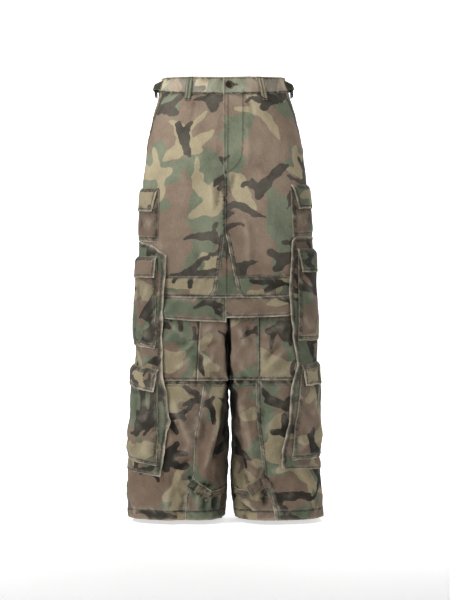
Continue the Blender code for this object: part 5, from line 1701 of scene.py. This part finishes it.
def buildButton():
    # Shank button with a raised rim, turned from a profile of radius and height shares, and
    # the keyhole slit beside it. The form's row 14 is the one at the button's height.
    look = {"radius": 0.009, "thick": 0.0035, "x": 0.0085, "z": -0.0315, "turns": 48, "row": 14}
    profile = ((0.0, 0.8), (0.2, 0.84), (0.52, 0.78), (0.66, 0.74), (0.72, 0.8), (0.78, 0.96),
               (0.84, 1.0), (0.92, 0.96), (0.98, 0.8), (1.0, 0.55), (0.98, 0.25), (0.9, 0.02),
               (0.6, 0.0), (0.0, 0.0))
    along = float(alongAtX(left, body[left], look["row"], look["x"]))
    seat, outward = (part[0] for part in onForm(left, along, look["z"], cut["bandProud"] + 0.0003, body))
    piece = startFrom(bpy.ops.mesh.primitive_circle_add, vertices=look["turns"],
                      radius=look["radius"] * profile[1][0], fill_type="NGON", location=(0, 0, 0))
    piece.name = "shank_button"
    setMode("EDIT")
    bpy.ops.mesh.select_all(action="SELECT")
    for (reachBefore, _), (reachNow, _) in zip(profile[1:-2], profile[2:-1]):
        bpy.ops.mesh.extrude_region_move(TRANSFORM_OT_translate={"value": (0, 0, -0.0001)})
        bpy.ops.transform.resize(value=(reachNow / reachBefore,) * 2 + (1,), center_override=(0, 0, 0))
    setMode("OBJECT")
    mesh = piece.data
    rings = {}
    for vert in mesh.vertices:
        rings.setdefault(round(vert.co.z / 0.0001), []).append(vert)
    for depthIndex, ring in rings.items():
        for vert in ring:
            vert.co.z = look["thick"] * profile[1 - depthIndex][1]
    turn = Vector(outward).to_track_quat("Z", "Y").to_matrix().to_4x4()
    mesh.transform(turn)
    mesh.transform(Matrix.Translation(Vector(seat)))
    setMode("EDIT")
    bpy.ops.mesh.select_all(action="SELECT")
    bpy.ops.mesh.normals_make_consistent(inside=False)
    setMode("OBJECT")
    bpy.ops.object.shade_smooth_by_angle(angle=math.radians(60))
    mesh.materials.append(materials["agedMetal"])
    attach(piece, "root")
    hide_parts("waist_button")
    buttonhole(along, look["z"])


def buttonhole(buttonAlong, z):
    # Dark gathered thread round the keyhole slit, from the button toward the wearer's left
    look = {"half": 0.0065, "start": 0.0065, "past": 0.001, "widths": (0.0016, 0.0009, 0.0024),
            "stand": 0.0004, "run": 0.04, "pitch": 0.0007, "stitch": (0.0016, 0.0006, 0.0008)}
    for width in look["widths"]:
        def ring(t):
            turn = 2 * math.pi * t
            reachOut = (look["half"] + look["past"]) * np.cos(turn)
            along = buttonAlong - look["start"] - look["half"] + reachOut
            return onForm(left, along, z + width * np.sin(turn), cut["bandProud"] + look["stand"], body)
        sewRow(ring, look["run"], look["pitch"], look["stitch"])


def joinCopies(name, start, groups, material):
    # One modelled start, copied to every place into one joined mesh
    bpy.ops.object.transform_apply(location=True, rotation=True)
    shape = np.array([vert.co for vert in start.data.vertices])
    faces = [tuple(face.vertices) for face in start.data.polygons]
    bpy.data.objects.remove(start)
    spread = []
    for points, axes, sizes in groups:
        local = points[:, None, :]
        for k in range(3):
            local = local + shape[None, :, k:k + 1] * sizes[k] * axes[k][:, None, :]
        spread.append(local.reshape(-1, 3))
    places = np.concatenate(spread)
    copies = len(places) // len(shape)
    mesh = bpy.data.meshes.new(name)
    mesh.from_pydata(places.tolist(), [], [tuple(i + k * len(shape) for i in face)
                                           for k in range(copies) for face in faces])
    mesh.update()
    piece = bpy.data.objects.new(name, mesh)
    bpy.context.scene.collection.objects.link(piece)
    bpy.context.view_layer.objects.active = piece
    mesh.shade_smooth()
    mesh.materials.append(materials[material])
    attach(piece, "root")
    print(name, copies, "copies,", len(mesh.polygons), "faces")


def joinStitches():
    stitch = startFrom(bpy.ops.mesh.primitive_uv_sphere_add, segments=5, ring_count=3, radius=0.5)
    stitch.rotation_euler = (0, math.pi / 2, 0)
    joinCopies("stitches_dark", stitch, stitches, "darkThread")


def joinFibres():
    # One fibre is a thin cone with three sides
    fibre = startFrom(bpy.ops.mesh.primitive_cone_add, vertices=3, radius1=0.5, depth=1.0,
                      location=(0, 0, 0.5))
    joinCopies("frayed_fibres", fibre, fibres, "paleThread")


for step in (buildWaistband, buildFronts, flyStitching, buildBands, buildLegs, buildSidePanels,
             buildPockets, buildLoops, buildLegTabs, buildAdjusters, buildButton, joinStitches, joinFibres):
    step()
    print(step.__name__, "done")


def buildStage():
    # A round floor that curves up into a wall all round. It glows by emission, brightest behind the garment
    # and dim elsewhere
    studio = {"floorZ": -1.075, "flat": 5.2, "corner": 1.6, "height": 4.0, "turns": 64, "rings": 40}
    backdrop = startFrom(bpy.ops.mesh.primitive_grid_add, x_subdivisions=studio["turns"],
                         y_subdivisions=studio["rings"], size=1)
    backdrop.name = "backdrop"
    bend = studio["corner"] * math.pi / 2
    for vert in backdrop.data.vertices:
        run = (vert.co.y + 0.5) * (studio["flat"] + bend + studio["height"])
        turn = min(max((run - studio["flat"]) / studio["corner"], 0), math.pi / 2)
        radius = min(run, studio["flat"]) + studio["corner"] * math.sin(turn)
        z = studio["corner"] * (1 - math.cos(turn)) + max(run - studio["flat"] - bend, 0)
        around = (vert.co.x + 0.5) * 2 * math.pi
        vert.co = (-radius * math.sin(around), -radius * math.cos(around), studio["floorZ"] + z)
    setMode("EDIT")
    bpy.ops.mesh.select_all(action="SELECT")
    bpy.ops.mesh.remove_doubles(threshold=0.0001)
    setMode("OBJECT")
    bpy.ops.object.shade_smooth()
    material, tree, shader = startMaterial("paleBackdrop", Roughness=0.9, Emission_Strength=1.0)
    place = addNode(tree, "ShaderNodeTexCoord").outputs["Object"]
    shade = blend(tree, noise(tree, place, 2.0), (0.84, 0.84, 0.84, 1), (0.88, 0.88, 0.88, 1))
    tree.links.new(shade, shader.inputs["Base Color"])
    parts = addNode(tree, "ShaderNodeSeparateXYZ", None, {0: place}).outputs
    behind = between(tree, parts[1], -1.3, 0.9)
    beside = between(tree, maths(tree, "ABSOLUTE", parts[0]), 1.3, 3.6, 1.0, 0.0)
    glow = blend(tree, times(tree, behind, beside), (0.06, 0.06, 0.06, 1), (0.95, 0.95, 0.95, 1))
    tree.links.new(glow, shader.inputs["Emission Color"])
    backdrop.data.materials.append(material)


def buildLights():
    rig = (("key", (-2.3, -1.8, 1.55), 1.0, 88.0), ("fill", (2.3, -2.6, 0.3), 1.8, 6.0),
           ("top", (0.2, -1.0, 2.2), 1.2, 16.0), ("rear", (1.2, 2.4, 1.6), 2.0, 35.0))
    for name, place, size, power in rig:
        lamp = bpy.data.lights.new(name, "AREA")
        lamp.size = size
        lamp.energy = power
        light = bpy.data.objects.new(name, lamp)
        light.location = place
        aim = Vector((0, 0, -0.5)) - light.location
        light.rotation_euler = aim.to_track_quat("-Z", "Y").to_euler()
        bpy.context.scene.collection.objects.link(light)
    world = bpy.data.worlds.new("studio")
    bpy.context.scene.world = world
    world.use_nodes = True
    world.node_tree.nodes["Background"].inputs[0].default_value = (1, 1, 1, 1)
    world.node_tree.nodes["Background"].inputs[1].default_value = 0.04


def buildCamera():
    # The photograph's view: level with the thighs, straight at the front
    view = {"place": (-0.0012, -3.6, -0.5419), "lens": 88.9, "sensor": 36.0}
    data = bpy.data.cameras.new("camera")
    data.lens = view["lens"]
    data.sensor_width = view["sensor"]
    data.sensor_fit = "AUTO"
    camera = bpy.data.objects.new("camera", data)
    camera.location = view["place"]
    camera.rotation_euler = (math.pi / 2, 0, 0)
    bpy.context.scene.collection.objects.link(camera)
    bpy.context.scene.camera = camera
    bpy.context.scene.view_settings.view_transform = "Standard"


buildStage()
buildLights()
buildCamera()

triangles = sum(len(p.vertices) - 2 for o in bpy.data.objects if o.type == "MESH" and not o.hide_render
                for p in o.data.polygons)
print("triangles:", triangles)
